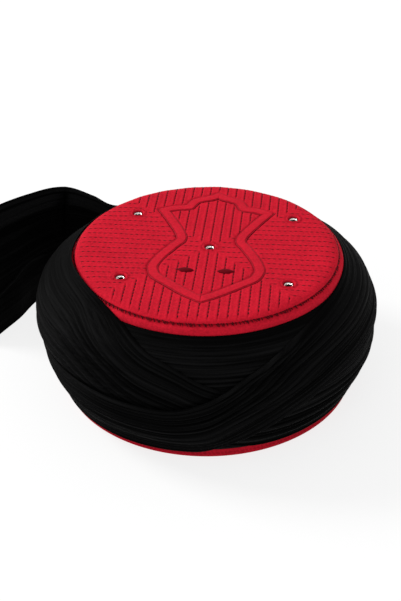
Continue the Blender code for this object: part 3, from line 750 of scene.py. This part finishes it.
def make_eyelet(node):
    """A turned ring: its profile runs up the bore, out over a throat that widens like a trumpet's bell,
    round the lip, down outside the barrel, and round the flat washer under the crown."""
    low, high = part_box(node)
    mx, my = middle(node)
    flange = (high[0] - low[0]) / 2 * 0.93
    bore = flange * 0.66
    seat = crown_top - 0.0001 - EYELET_SINK
    throat = flowing(np.linspace(0, 1, 12), [0, 0.25, 0.5, 0.75, 1], [0.0, 0.03, 0.14, 0.40, 1.0])
    throat_r = bore + (flange * 0.88 - bore) * throat
    throat_z = seat + 0.0005 - 0.0022 * (1 - np.linspace(0, 1, 12)) ** 1.3
    lip_r = flange * np.array([0.93, 0.975, 1.0, 0.995, 0.97, 0.90])
    lip_z = seat + np.array([0.00047, 0.00036, 0.00020, 0.00005, 0.0, 0.0])
    washer = flange * 0.88
    under = low[2]
    r = np.concatenate([[bore, bore], throat_r, lip_r, [bore + 0.0002] * 2, [washer, washer, washer - 0.0001]])
    z = np.concatenate([[under, crown_low], throat_z, lip_z, [seat - 0.0002, crown_low - 0.0002],
                        [crown_low - 0.0002, under + 0.0001, under]])
    turn = np.linspace(0, 2 * np.pi, 48, endpoint=False)[:, None]
    points = around(r[None, :], turn, z[None, :]) + [mx, my, 0]
    piece = sew(node + "_ring", points.reshape(-1, 3), cross(48, len(r), True, True))
    piece.data.materials.append(eyelet_finish)
    piece.data.materials.append(bore_finish)
    # The bore's faces take the near-black nickel, painted shade inside the barrel.
    in_bore = (np.arange(len(r)) < 4).astype(np.int32)
    piece.data.polygons.foreach_set("material_index", np.tile(in_bore, 48))
    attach(piece, "root")
    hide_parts(node)


def make_gathers(node):
    """The crown's cloth drawn in round an eyelet: a ring that rises out of the hollow to a puckered crest and sinks
    away outside it. Its inner and outer edge hold a line of painted shade. Its height swells at each gather."""
    mx, my = middle(node)
    turn = np.linspace(0, 2 * np.pi, 60, endpoint=False)[:, None]
    r = np.array([0.0029, 0.0031, 0.0035, 0.0039, 0.0043, 0.0047, 0.0050, 0.0053, 0.0056, 0.0050, 0.0036])[None, :]
    z = np.array([-0.0015, -0.0009, -0.0003, 0.0001, 0.0003, 0.0002, 0.0000, -0.0005, -0.0012, -0.0018, -0.0020])
    puckers = np.sin(11 * turn + mx * 900) + 0.6 * np.sin(7 * turn + my * 700)
    crest = np.clip(1 - np.abs(r - 0.0043) / 0.0012, 0, 1)
    points = around(r + 0.00012 * puckers * crest, turn, crown_top + z + 0.00014 * puckers * crest) + [mx, my, 0]
    # Painted shade along the ring's inner and outer edge and between the deepest puckers, and a painted highlight on
    # its crest.
    dark = np.exp(-((r - 0.0053) / 0.0003) ** 2) + np.exp(-((r - 0.0030) / 0.0003) ** 2) + 0 * turn
    marks = {"stitch": np.clip(dark + 0.25 * (puckers < -0.9), 0, 1), "painted_highlight": 0.3 * crest + 0 * turn}
    ring = sew(node + "_gathers", points.reshape(-1, 3), cross(60, r.shape[1], True, True), marks)
    ring.data.materials.append(crown_cloth)
    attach(ring, "root")


def nickel(name, bright, dull, roughness):
    """Nickel with fine handling marks, dulled where it is rubbed."""
    made, surface, start = finish_for(name, specular=0.5)
    place = start.add("ShaderNodeTexCoord", out=3)
    rubs = start.add("ShaderNodeTexNoise", vector=place, scale=900.0, detail=5.0, roughness=0.7)
    lay_on(surface, "Metallic", 1.0)
    lay_on(surface, "Base Color", rubs.blend(bright, dull))
    lay_on(surface, "Roughness", rubs * 0.22 + roughness)
    return made


eyelet_finish = nickel("bright_nickel", (0.92, 0.91, 0.88, 1.0), (0.74, 0.73, 0.70, 1.0), 0.08)
# Near-black nickel for the bore: painted shade inside the barrel.
bore_finish = nickel("tarnished_bore", (0.030, 0.026, 0.024, 1.0), (0.012, 0.010, 0.010, 1.0), 0.35)
for node in eyelet_nodes:
    make_eyelet(node)
    make_gathers(node)

# The inner windings.
# Many turns of thin black crinkle cotton lie round the cap below the crossing passes. They show in the
# triangle at the front and behind, as level pleats that run out to the wall above and below.

WRAP_LOW, WRAP_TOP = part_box("base_wrap")[0][2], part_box("base_wrap")[1][2]
WRAP_BULGE = 0.0170
LAYER_GAP = 0.0005
WRAP_SWELL = np.array([
    (-0.06, 0.00), (0.00, 0.10), (0.06, 0.22), (0.22, 0.61), (0.41, 0.85), (0.60, 1.00), (0.78, 0.96),
    (0.88, 0.73), (0.95, 0.38), (1.00, 0.12), (1.06, 0.00),
])


def wrap_radius(z):
    """The windings' outer radius at a height: the cap's wall plus a bulge that is widest above the middle."""
    share = (z - WRAP_LOW) / (WRAP_TOP - WRAP_LOW)
    return wall_radius(z) + WRAP_BULGE * np.clip(flowing(share, WRAP_SWELL[:, 0], WRAP_SWELL[:, 1]), 0, None)


def laid_cloth(share, width, turn, seed, creases, narrow, slip):
    """Cloth laid in pleats, from above: its height in metres below the pleats' tops, and the share of a
    crease there. The creases are (share across, strength) rows. Each wanders by slip and comes and goes
    along the cloth. Its depth falls off with the distance to it, as e to the power of minus
    (distance / narrow). Between two creases the cloth swells, and each pleat lies at its own level."""
    chance = np.random.default_rng(seed)
    places, strengths = np.asarray(creases, float).T
    drift = [slip * wander(turn, seed * 31 + k) for k in range(len(places))]
    fades = [np.clip(0.8 + 0.6 * wander(turn, seed * 17 + k + 400), 0.1, 1) for k in range(len(places))]
    lines = np.stack(drift, axis=-1) + places
    strong = np.stack(fades, axis=-1) * strengths
    away = np.abs(share[..., None] - lines) * width[..., None]
    crease = (strong * np.exp(-(away / narrow) ** 1.4)).max(axis=-1)
    nearest = np.where(strong > 0.15, away, 1.0).min(axis=-1)
    swell = 1 - np.exp(-nearest / (3.2 * narrow))
    levels = chance.uniform(-1, 1, len(places) + 1)
    pleat = (share[..., None] > lines).sum(axis=-1)
    level = levels[pleat] * (0.7 + 0.3 * np.sin(2 * turn + pleat))
    return 0.9 * narrow * swell + 0.35 * narrow * level * swell - crease * 3.0 * narrow, crease, level * swell


def even_creases(seed, count, least=0.2):
    """A number of creases at uneven steps across the cloth, with strengths from least to 1."""
    chance = np.random.default_rng(seed)
    gaps = chance.uniform(0.4, 1.6, count + 1)
    places = np.cumsum(gaps)[:-1] / gaps.sum()
    return np.stack([places, chance.uniform(least, 1, count)], axis=1)


def black_cotton(name, shade, gloss, spread=0.16):
    """Black crinkle cotton. Its grain is drawn out along the cloth: it is noise in X and Y, which change slowly there,
    and in the place across the cloth, times a large number. Creases get painted shade, black where the crease mark is
    1, and the level mark times the spread paints light and shade on the pleats and the cloth."""
    made, surface, start = finish_for(name, specular=gloss)
    place = start.add("ShaderNodeTexCoord", out=3)
    x = start.add("ShaderNodeSeparateXYZ", out=0, vector=place)
    y = start.add("ShaderNodeSeparateXYZ", out=1, vector=place)
    across = start.add("ShaderNodeAttribute", {"attribute_name": "across"}, out=2)
    crease = start.add("ShaderNodeAttribute", {"attribute_name": "crease"}, out=2)
    level = start.add("ShaderNodeAttribute", {"attribute_name": "level"}, out=2)
    drawn = start.add("ShaderNodeCombineXYZ", x=x * 16.0, y=y * 16.0, z=across * 1500.0)
    broad = start.add("ShaderNodeCombineXYZ", x=x * 9.0, y=y * 9.0, z=across * 560.0)
    cross_grain = start.add("ShaderNodeCombineXYZ", x=x * 700.0, y=y * 700.0, z=across * 1800.0)
    crinkle = start.add("ShaderNodeTexNoise", vector=drawn, scale=1.0, detail=3.0, roughness=0.6)
    streak = start.add("ShaderNodeTexNoise", vector=broad, scale=1.0, detail=2.0, roughness=0.5)
    weave = start.add("ShaderNodeTexNoise", vector=cross_grain, scale=1.0, detail=2.0, roughness=0.5)
    dark = tuple(c * 0.15 for c in shade[:3]) + (1.0,)
    pale = tuple(c * 2.2 for c in shade[:3]) + (1.0,)
    cloth = (crinkle * 1.5 + streak * 1.7 + weave * 0.4 + level * spread - 1.36).blend(dark, pale)
    # Painted shade: black where the crease mark is 1.
    lay_on(surface, "Base Color", crease.blend(cloth, (0.0, 0.0, 0.0, 1.0)))
    lay_on(surface, "Roughness", crinkle * 0.3 + 0.45)
    height = crinkle + streak * 1.2 + weave * 0.3
    lay_on(surface, "Normal", start.add("ShaderNodeBump", strength=0.7, distance=0.0005, height=height))
    return made


COTTON_BLACK = (0.0026, 0.0026, 0.0027, 1.0)


def make_windings():
    """A closed ring: outside, the height z runs up the swell with level pleats cut into it, and inside it
    lies a hair off the cap's wall."""
    turn = np.linspace(0, 2 * np.pi, 360, endpoint=False)[:, None]
    share = np.linspace(0, 1, 170)[None, :] + 0 * turn
    z = WRAP_LOW + (WRAP_TOP - WRAP_LOW) * share
    width = np.full_like(z, 1.15 * (WRAP_TOP - WRAP_LOW))
    height, crease, level = laid_cloth(share, width, turn, 11, even_creases(19, 22, 0.3), 0.00030, 0.014)
    fine, fine_crease, _ = laid_cloth(share, width, turn, 12, even_creases(13, 44), 0.00022, 0.008)
    inner_z = np.linspace(WRAP_TOP, WRAP_LOW, 16)[None, :] + 0 * turn
    r = wrap_radius(z) + height + fine - 0.0006
    r = np.maximum(r, wall_radius(z) + 0.0006)
    inner_r = wall_radius(inner_z) + 0.0004
    points = np.concatenate([around(r, turn, z), around(inner_r, turn, inner_z)], axis=1)
    across = np.concatenate([share * 0.09, 0 * inner_z], axis=1)
    # Painted shade in the creases.
    crease = np.concatenate([np.maximum(crease, 0.7 * fine_crease), 0 * inner_z], axis=1)
    level = np.concatenate([level, 0 * inner_z], axis=1)
    # Painted shade high up where the windings meet the cap's wall.
    level = level - 3.0 * step_up(np.concatenate([z, inner_z], axis=1), 0.078, 0.084)
    marks = {"across": across, "crease": np.clip(crease, 0, 1), "level": level}
    return sew("inner_windings", points.reshape(-1, 3), cross(*points.shape[:2], True, True)[:, ::-1], marks)


inner_windings = make_windings()
winding_cotton = black_cotton("winding_cotton", COTTON_BLACK, 0.02)
inner_windings.data.materials.append(winding_cotton)
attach(inner_windings, "root")
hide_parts("base_wrap")

# The two crossing passes.
# The same cloth, gathered into bands about a hand wide. The left pass goes from high on the left to low on
# the right; the last pass lies over it from low on the left to high on the right, its top edge rolled.

PASS_THICKNESS = 0.0016
PASS_FOLD = 0.0005
ROLL_RISE = 0.0011
ROLL_FROM = 0.905
LIFT_MARGIN = 0.0020
LIFT_RUN = 0.0100
LIFT_RUN_DOWN = 0.0350
SIDE_FLUSH = 0.60
LEFT_SWELL = 0.0030
RIGHT_SWELL = 0.0020
LEFT_PASS = np.array([
    (-180, 1.010, 0.462), (-165, 1.040, 0.462), (-150, 1.058, 0.462), (-140, 1.047, 0.462),
    (-130, 1.008, 0.462), (-124, 0.976, 0.459), (-118, 0.942, 0.453), (-112, 0.902, 0.430),
    (-106, 0.862, 0.396), (-95, 0.795, 0.308), (-85, 0.695, 0.198), (-75, 0.625, 0.121),
    (-65, 0.604, 0.088), (-40, 0.600, 0.088), (0, 0.610, 0.088), (40, 0.625, 0.088), (55, 0.665, 0.099),
    (70, 0.725, 0.154), (85, 0.791, 0.265), (98, 0.857, 0.352), (115, 0.945, 0.418), (130, 0.990, 0.451),
    (150, 1.005, 0.462), (180, 1.005, 0.462),
])
RIGHT_PASS = np.array([
    (-257, 0.264, 0.066), (-245, 0.330, 0.066), (-230, 0.396, 0.060), (-215, 0.451, 0.055),
    (-200, 0.495, 0.060), (-180, 0.500, 0.066), (-150, 0.492, 0.055), (-130, 0.497, 0.055),
    (-105, 0.497, 0.062), (-95, 0.512, 0.066), (-85, 0.590, 0.088), (-75, 0.709, 0.209),
    (-65, 0.800, 0.319), (-55, 0.868, 0.420), (-40, 0.923, 0.530), (-20, 0.956, 0.575), (0, 0.967, 0.588),
    (20, 0.970, 0.588), (40, 0.956, 0.571), (55, 0.912, 0.505), (70, 0.857, 0.429), (85, 0.791, 0.352),
    (96, 0.747, 0.297),
])
LEFT_CREASES = [
    (0.06, 0.5), (0.14, 0.6), (0.25, 0.5), (0.36, 0.4), (0.475, 1.3), (0.54, 0.5), (0.605, 1.6), (0.645, 0.9),
    (0.70, 1.0), (0.735, 1.5), (0.79, 0.8), (0.85, 0.7), (0.88, 0.5), (0.905, 1.3), (0.94, 0.7), (0.97, 0.5),
]
LAST_CREASES = [
    (0.06, 0.6), (0.15, 0.5), (0.235, 1.2), (0.37, 0.7), (0.47, 1.0), (0.52, 0.9), (0.585, 1.7), (0.655, 1.6),
    (0.715, 1.4), (0.76, 0.5), (0.80, 1.9), (0.87, 0.6), (0.93, 0.7),
]


def pass_edges(table, bearing):
    """The upper and lower edge's height of a pass at a bearing, from its table of shares of the cap."""
    upper = flowing(bearing, table[:, 0], table[:, 1]) * wall_top
    lower = flowing(bearing, table[:, 0], table[:, 2]) * wall_top
    return upper, lower


def at_side(bearing, centre, near, far):
    """1 within a number of degrees of a bearing, and 0 beyond another: a side where the passes are pulled
    flat over each other."""
    away = np.abs((bearing - centre + 180) % 360 - 180)
    return 1 - step_up(away, near, far)


def flushness(bearing):
    """How flat the passes are pulled: fully on the cap's left side, and partly on its right."""
    return np.maximum(at_side(bearing, -185, 28, 75), 0.6 * at_side(bearing, -2, 20, 55))


def over_left_pass(bearing, z):
    """How far a place on the last pass is lifted by the left pass: all of its thickness on it and just
    beside it, and less over a run beyond its edges."""
    upper, lower = pass_edges(LEFT_PASS, (bearing + 180) % 360 - 180)
    above = step_up(z - upper - LIFT_MARGIN, 0, LIFT_RUN)
    below = step_up(lower - z - LIFT_MARGIN, 0, LIFT_RUN_DOWN)
    rise = PASS_THICKNESS * (1 - SIDE_FLUSH * flushness(bearing)) + PASS_FOLD + LAYER_GAP
    return rise * (1 - above) * (1 - below) * (0.2 + 0.8 * step_up(z, 0.006, 0.024))


def runs_under(share, bearing):
    """Where a place on the left pass lies across the laid cloth. At the front left the cloth slopes down
    more steeply than the band, so that its lower half has gone under the last pass there."""
    gone = 0.5 * step_up(bearing, -145, -105) * (1 - step_up(bearing, 100, 160))
    return share + gone * (1 - share)


def quarter_round(distance, width):
    """0 at an edge, rising along a quarter circle to 1 over a width."""
    t = np.clip(distance / width, 0, 1)
    return np.sqrt(1 - (1 - t) ** 2)


def make_pass(name, table, bearings, closed, seed, creases, roll, lifted):
    """A band that runs round between its two edges. Its inner side lies on what is beneath. Its outer
    side adds the cloth's thickness and laid pleats, thins out round both edges, and bears two narrow
    rolls along the top where roll is more than 0. Each section runs up outside and down inside."""
    bearing = bearings[:, None]
    upper, lower = pass_edges(table, bearing)
    rows, few = 168, np.linspace(167, 0, 22).round().astype(int)
    share = np.linspace(0, 1, rows)[None, :] + 0 * bearing
    z = lower + (upper - lower) * share
    turn = np.radians(bearing)
    width = (upper - lower) * 1.12 + 0 * share
    inner = wrap_radius(z) + LAYER_GAP * 0.5 + (over_left_pass(bearing, z) if lifted else 0)
    laid = runs_under(share, bearing) if closed else share * (1 - 0.25 * step_up(bearing, -85, -48))
    height, crease, level = laid_cloth(laid, width, turn, seed, creases, 0.00064, 0.008)
    drawn = 1 - 0.5 * step_up(bearing, -72, -30) * lifted + 1.2 * at_side(bearing, -188, 32, 75) * (not lifted)
    height, crease = height * np.minimum(drawn, 1.5), crease * drawn
    fine, fine_crease, _ = laid_cloth(laid, width, turn, seed + 1, even_creases(seed, 40), 0.00027, 0.006)
    edge = quarter_round(np.minimum(share, 1 - share) * width, 0.0018)
    on_roll = np.clip((share - ROLL_FROM) / (1 - ROLL_FROM), 0, 1) * (roll > 0)
    fold = np.sqrt(np.abs(np.sin(2 * np.pi * on_roll))) * (on_roll > 0)
    side = flushness(bearing)
    body = PASS_THICKNESS * (1 - SIDE_FLUSH * side) + height * (1 - fold) + fine
    last_upper, _ = pass_edges(RIGHT_PASS, (bearing + 257) % 360 - 257)
    left_swell = step_up(z, last_upper - 0.001, last_upper + 0.007) * (1 - step_up(z, 0.070, 0.088))
    right_swell = step_up(z, 0.018, 0.036) * (1 - step_up(z, 0.042, 0.054))
    left_swell = LEFT_SWELL * left_swell * at_side(bearing, -185, 28, 75)
    right_swell = RIGHT_SWELL * right_swell * at_side(bearing, -2, 20, 55)
    body = body + (left_swell + right_swell) * (not lifted)
    outer = inner + 0.0002 + np.maximum(edge * (body + roll * fold * (1 - side)), 0.0002)
    crease = np.maximum(crease * (1 - fold), fine_crease)
    # Painted shade in the roll's two tucks, and a painted shadow on the left band just above the last band's upper
    # edge.
    tuck = np.minimum(np.abs(share - ROLL_FROM), np.abs(share - (1 + ROLL_FROM) / 2)) * width
    crease = np.maximum(crease, np.exp(-(tuck / 0.0004) ** 2) * (roll > 0))
    roll_shadow = np.exp(-((z - last_upper - 0.0008) / 0.0016) ** 2) * (not lifted)
    crease = np.clip(np.maximum(crease, 0.85 * roll_shadow), 0, 1)
    # Painted shade high up beside the cap's wall, a painted highlight along the last band's lower edge on the right,
    # painted shade low on the left band at the front, and painted shade on the cap's left side.
    level = level - 3.0 * step_up(z, 0.078, 0.088)
    if lifted:
        level = level + 3.0 * np.exp(-((share - 0.07) * width / 0.0020) ** 2) * step_up(bearing, -80, -55)
    else:
        level = level - 2.5 * (1 - step_up(z, 0.012, 0.028)) * at_side(bearing, -50, 22, 38)
    level = level - 3.0 * at_side(bearing, -190, 25, 60)
    points = np.concatenate([around(outer, turn, z), around(inner, turn, z)[:, few]], axis=1)
    marks = {"across": share * 0.05, "crease": crease, "level": level}
    marks = {mark: np.concatenate([value, value[:, few]], axis=1) for mark, value in marks.items()}
    count = points.shape[1]
    faces = cross(len(bearings), count, closed, True)[:, ::-1]
    ring = np.arange(count)
    ends = [] if closed else [ring, ring[::-1] + (len(bearings) - 1) * count]
    piece = sew(name, points.reshape(-1, 3), faces, marks, ends=ends)
    piece.data.materials.append(winding_cotton)
    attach(piece, "root")
    return piece


left_bearings = np.linspace(-180, 180, 420, endpoint=False)
left_band = make_pass("left_band", LEFT_PASS, left_bearings, True, 23, LEFT_CREASES, 0.0, False)
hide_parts("left_pass")
last_bearings = np.linspace(-257, 96.1, 400)
last_band = make_pass("last_band", RIGHT_PASS, last_bearings, False, 41, LAST_CREASES, ROLL_RISE, True)
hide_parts("right_pass")

# The free end.
# The last pass's cloth leaves the winding behind on the left, bends forwards and stands on its lower edge.
# A narrow rolled hem runs along its top.

TAIL_ROOT = 96.26
TAIL_SWEEP = 78.5
TAIL_REACH = 0.0500
TAIL_HEIGHT = 0.0880
TAIL_THICKNESS = 0.0020
TAIL_PLEAT = 0.0009
# Lower edge's turn, reach and height, then the upper edge's, as shares of the sweep, reach and height.
TAIL_DRAPE = np.array([
    (0.00, 0.00, 0.306, 0.00, 0.00, 0.772), (0.16, 0.13, 0.130, 0.19, 0.11, 0.725),
    (0.32, 0.38, 0.015, 0.37, 0.35, 0.715), (0.44, 0.64, 0.000, 0.43, 0.66, 0.770),
    (0.53, 0.78, 0.000, 0.48, 0.93, 0.820), (0.62, 0.80, 0.000, 0.54, 1.00, 0.860),
    (0.73, 0.75, 0.000, 0.64, 0.98, 0.910), (0.83, 0.71, 0.000, 0.72, 0.97, 0.950),
    (0.94, 0.79, 0.000, 0.80, 0.98, 0.985), (1.01, 0.88, 0.000, 0.88, 1.03, 1.000),
])
TAIL_CREASES = [
    (0.07, 0.5), (0.15, 0.7), (0.24, 0.4), (0.46, 0.5), (0.56, 0.4), (0.70, 0.6), (0.785, 1.0), (0.81, 0.6),
]
TAIL_BLACK = (0.0024, 0.0024, 0.0025, 1.0)


def make_tail():
    """A sheet between a lower and an upper edge that are smooth curves through the table. It leaves the
    winding over the first stations, is pleated along its length, has a turned-back band below the hem, a
    sharp upright crease where it bends and one long curved ridge low down. Its back and face are joined
    at the edges and ends."""
    stations, rows = 240, 130
    at = np.linspace(0, len(TAIL_DRAPE) - 1, stations)
    drape = [flowing(at, np.arange(len(TAIL_DRAPE)), column)[:, None] for column in TAIL_DRAPE.T]
    low_turn, low_out, low_height, top_turn, top_out, top_height = drape
    at = at[:, None]
    share = np.linspace(0, 1, rows)[None, :] + 0 * at
    bearing = TAIL_ROOT + TAIL_SWEEP * (low_turn + (top_turn - low_turn) * share)
    low_z = TAIL_HEIGHT * np.clip(low_height, 0, None)
    z = low_z + (TAIL_HEIGHT * top_height - low_z) * share
    free = step_up(at, 0, 1.6)
    on_wrap = wrap_radius(z) + LAYER_GAP * 0.5 + over_left_pass(bearing, z)
    off_wrap = wall_radius(WRAP_LOW) + WRAP_BULGE + TAIL_REACH * (low_out + (top_out - low_out) * share)
    radius = np.maximum(on_wrap + (off_wrap - on_wrap) * free, on_wrap)
    turn = np.radians(bearing)
    width = TAIL_HEIGHT * top_height - low_z + 0 * share
    height, crease, level = laid_cloth(share, width, at * 0.45, 57, TAIL_CREASES, 0.00045, 0.010)
    fine, fine_crease, _ = laid_cloth(share, width, at * 0.45, 58, even_creases(59, 26), 0.00016, 0.004)
    hang = 0.5 + 0.5 * np.sin(share * np.pi * 8 + 0.5 * np.sin(at))
    band = step_up(share, 0.79, 0.84) * (1 - step_up(share, 0.93, 0.955)) * free
    ridge_at = 0.40 - 0.07 * step_up(at, 5.6, 8.2) + 0.02 * np.sin(at * 2.2)
    ridge = np.exp(-((share - ridge_at) / 0.014) ** 2) * step_up(at, 5.0, 5.8)
    fold = np.exp(-((at - 4.30) / 0.10) ** 2) * step_up(share, 0.35, 0.80) * (1 - step_up(share, 0.90, 0.96))
    spread = np.exp(-((at - 4.30 - 1.5 * (1 - share)) / 0.10) ** 2) * step_up(share, 0.30, 0.60) * 0.5
    shadow = np.exp(-((at - 4.45 - 1.2 * (0.95 - share)) / (0.30 + 1.2 * (0.95 - share))) ** 2)
    panel = step_up(share, 0.80, 0.86) * (1 - step_up(at, 3.9, 4.2))
    below = step_up(share, 0.64, 0.68) * (1 - step_up(share, 0.74, 0.77)) * step_up(at, 5.4, 7.4)
    pleat = TAIL_PLEAT * free * hang * 0.7 + 0.0014 * fold - 0.0010 * ridge - 0.0012 * band + 0.0006 * spread
    hem = np.exp(-((share - 0.972) * width / 0.0012) ** 2)
    edge = quarter_round(np.minimum(share, 1 - share) * width, 0.0016)
    body = TAIL_THICKNESS * 0.7 + height + fine + 0.0006 * hem * free
    face = around(np.maximum(radius + pleat - 0.0008 * hem * free, on_wrap), turn, z)
    back = around(radius + pleat + 0.0012 * band + 0.0002 + np.maximum(edge * body, 0.0002), turn, z)
    points = np.concatenate([back, face[:, ::-1]], axis=1)
    # Painted shade: a dark line just below the hem, in the creases, and in the upright bend and where it spreads.
    dark_line = np.exp(-((share - 0.945) * width / 0.0005) ** 2) * free
    crease = np.maximum(crease, 0.5 * fine_crease) + 0.9 * fold + 0.6 * spread + 0.9 * dark_line
    crease = np.clip(crease, 0, 1)
    # Painted light and shade: dark overall, lighter on the turned-back band, the panel before the bend and the strip
    # low down beyond it, dimmed by a painted shadow past the bend, with painted highlights on the low ridge and the
    # hem.
    level = 0.25 * level - 0.8 + free * (1 - 0.9 * shadow) * (1.7 * np.maximum(band, panel) + 0.5 * below)
    level = level + 1.3 * ridge + 1.8 * hem * free
    marks = {"across": share * 0.09, "crease": crease, "level": level}
    marks = {mark: np.concatenate([value, value[:, ::-1]], axis=1) for mark, value in marks.items()}
    count = points.shape[1]
    ring = np.arange(count)
    ends = [ring, ring[::-1] + (stations - 1) * count]
    return sew("free_end", points.reshape(-1, 3), cross(stations, count, False, True)[:, ::-1], marks, ends=ends)


free_end = make_tail()
free_end.data.materials.append(black_cotton("free_end_cotton", TAIL_BLACK, 0.008, 0.5))
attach(free_end, "root")
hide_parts("tail")

# The floor, the light and the camera.
# A plain pale floor, a white surround and two soft lamps; the camera has the photograph's place and lens.

CAMERA_PLACE = (0.07017, -0.70918, 0.51850)
CAMERA_TURN = 6.0
CAMERA_DOWN = 33.12
CAMERA_ROLL = -0.78
CAMERA_LENS = 76.89


def make_floor():
    """A flat square, much wider than the view."""
    half = 6.0
    points = np.array([(-half, -half, -0.0002), (half, -half, -0.0002), (half, half, -0.0002), (-half, half, -0.0002)])
    floor = sew("floor", points, np.array([[0, 1, 2, 3]]))
    made, surface, _ = finish_for("floor_paper", specular=0.0)
    lay_on(surface, "Base Color", (0.18, 0.18, 0.18, 1.0))
    lay_on(surface, "Roughness", 1.0)
    lay_on(surface, "Emission Color", (1.0, 1.0, 1.0, 1.0))
    lay_on(surface, "Emission Strength", 0.79)
    floor.data.materials.append(made)
    return floor


make_floor()

world = bpy.data.worlds.new("surround")
world.use_nodes = True
world.node_tree.nodes["Background"].inputs[0].default_value = (1.0, 1.0, 1.0, 1.0)
world.node_tree.nodes["Background"].inputs[1].default_value = 0.72
bpy.context.scene.world = world


def make_lamp(name, place, aim, size, watts):
    """A square soft lamp that faces its aim."""
    light = bpy.data.lights.new(name, "AREA")
    light.shape = "SQUARE"
    light.size = size
    light.energy = watts
    lamp = bpy.data.objects.new(name, light)
    lamp.location = place
    way = np.array(aim, float) - np.array(place, float)
    lamp.rotation_euler = (
        math.atan2(math.hypot(way[0], way[1]), -way[2]), 0, math.atan2(way[0], -way[1]) + math.pi
    )
    bpy.context.scene.collection.objects.link(lamp)


make_lamp("key_lamp", (-3.2, 1.2, 2.4), (0, 0, 0.05), 1.4, 145.0)
make_lamp("fill_lamp", (-0.8, -3.2, 3.2), (0, 0, 0.05), 2.4, 30.0)

scene = bpy.context.scene
scene.view_settings.view_transform = "Standard"
camera = bpy.data.objects.new("camera", bpy.data.cameras.new("camera"))
camera.data.lens = CAMERA_LENS
camera.data.sensor_width = 36.0
camera.data.clip_start = 0.01
turn, down, roll = (math.radians(a) for a in (CAMERA_TURN, CAMERA_DOWN, CAMERA_ROLL))
right = np.array([math.cos(turn), math.sin(turn), 0])
ahead = np.array([-math.sin(turn) * math.cos(down), math.cos(turn) * math.cos(down), -math.sin(down)])
up = np.cross(right, ahead)
rolled_right = math.cos(roll) * right + math.sin(roll) * up
rolled_up = -math.sin(roll) * right + math.cos(roll) * up
from mathutils import Matrix
camera.matrix_world = Matrix([
    [*row, place] for row, place in zip(np.stack([rolled_right, rolled_up, -ahead], axis=1).tolist(), CAMERA_PLACE)
] + [[0, 0, 0, 1]])
scene.collection.objects.link(camera)
scene.camera = camera
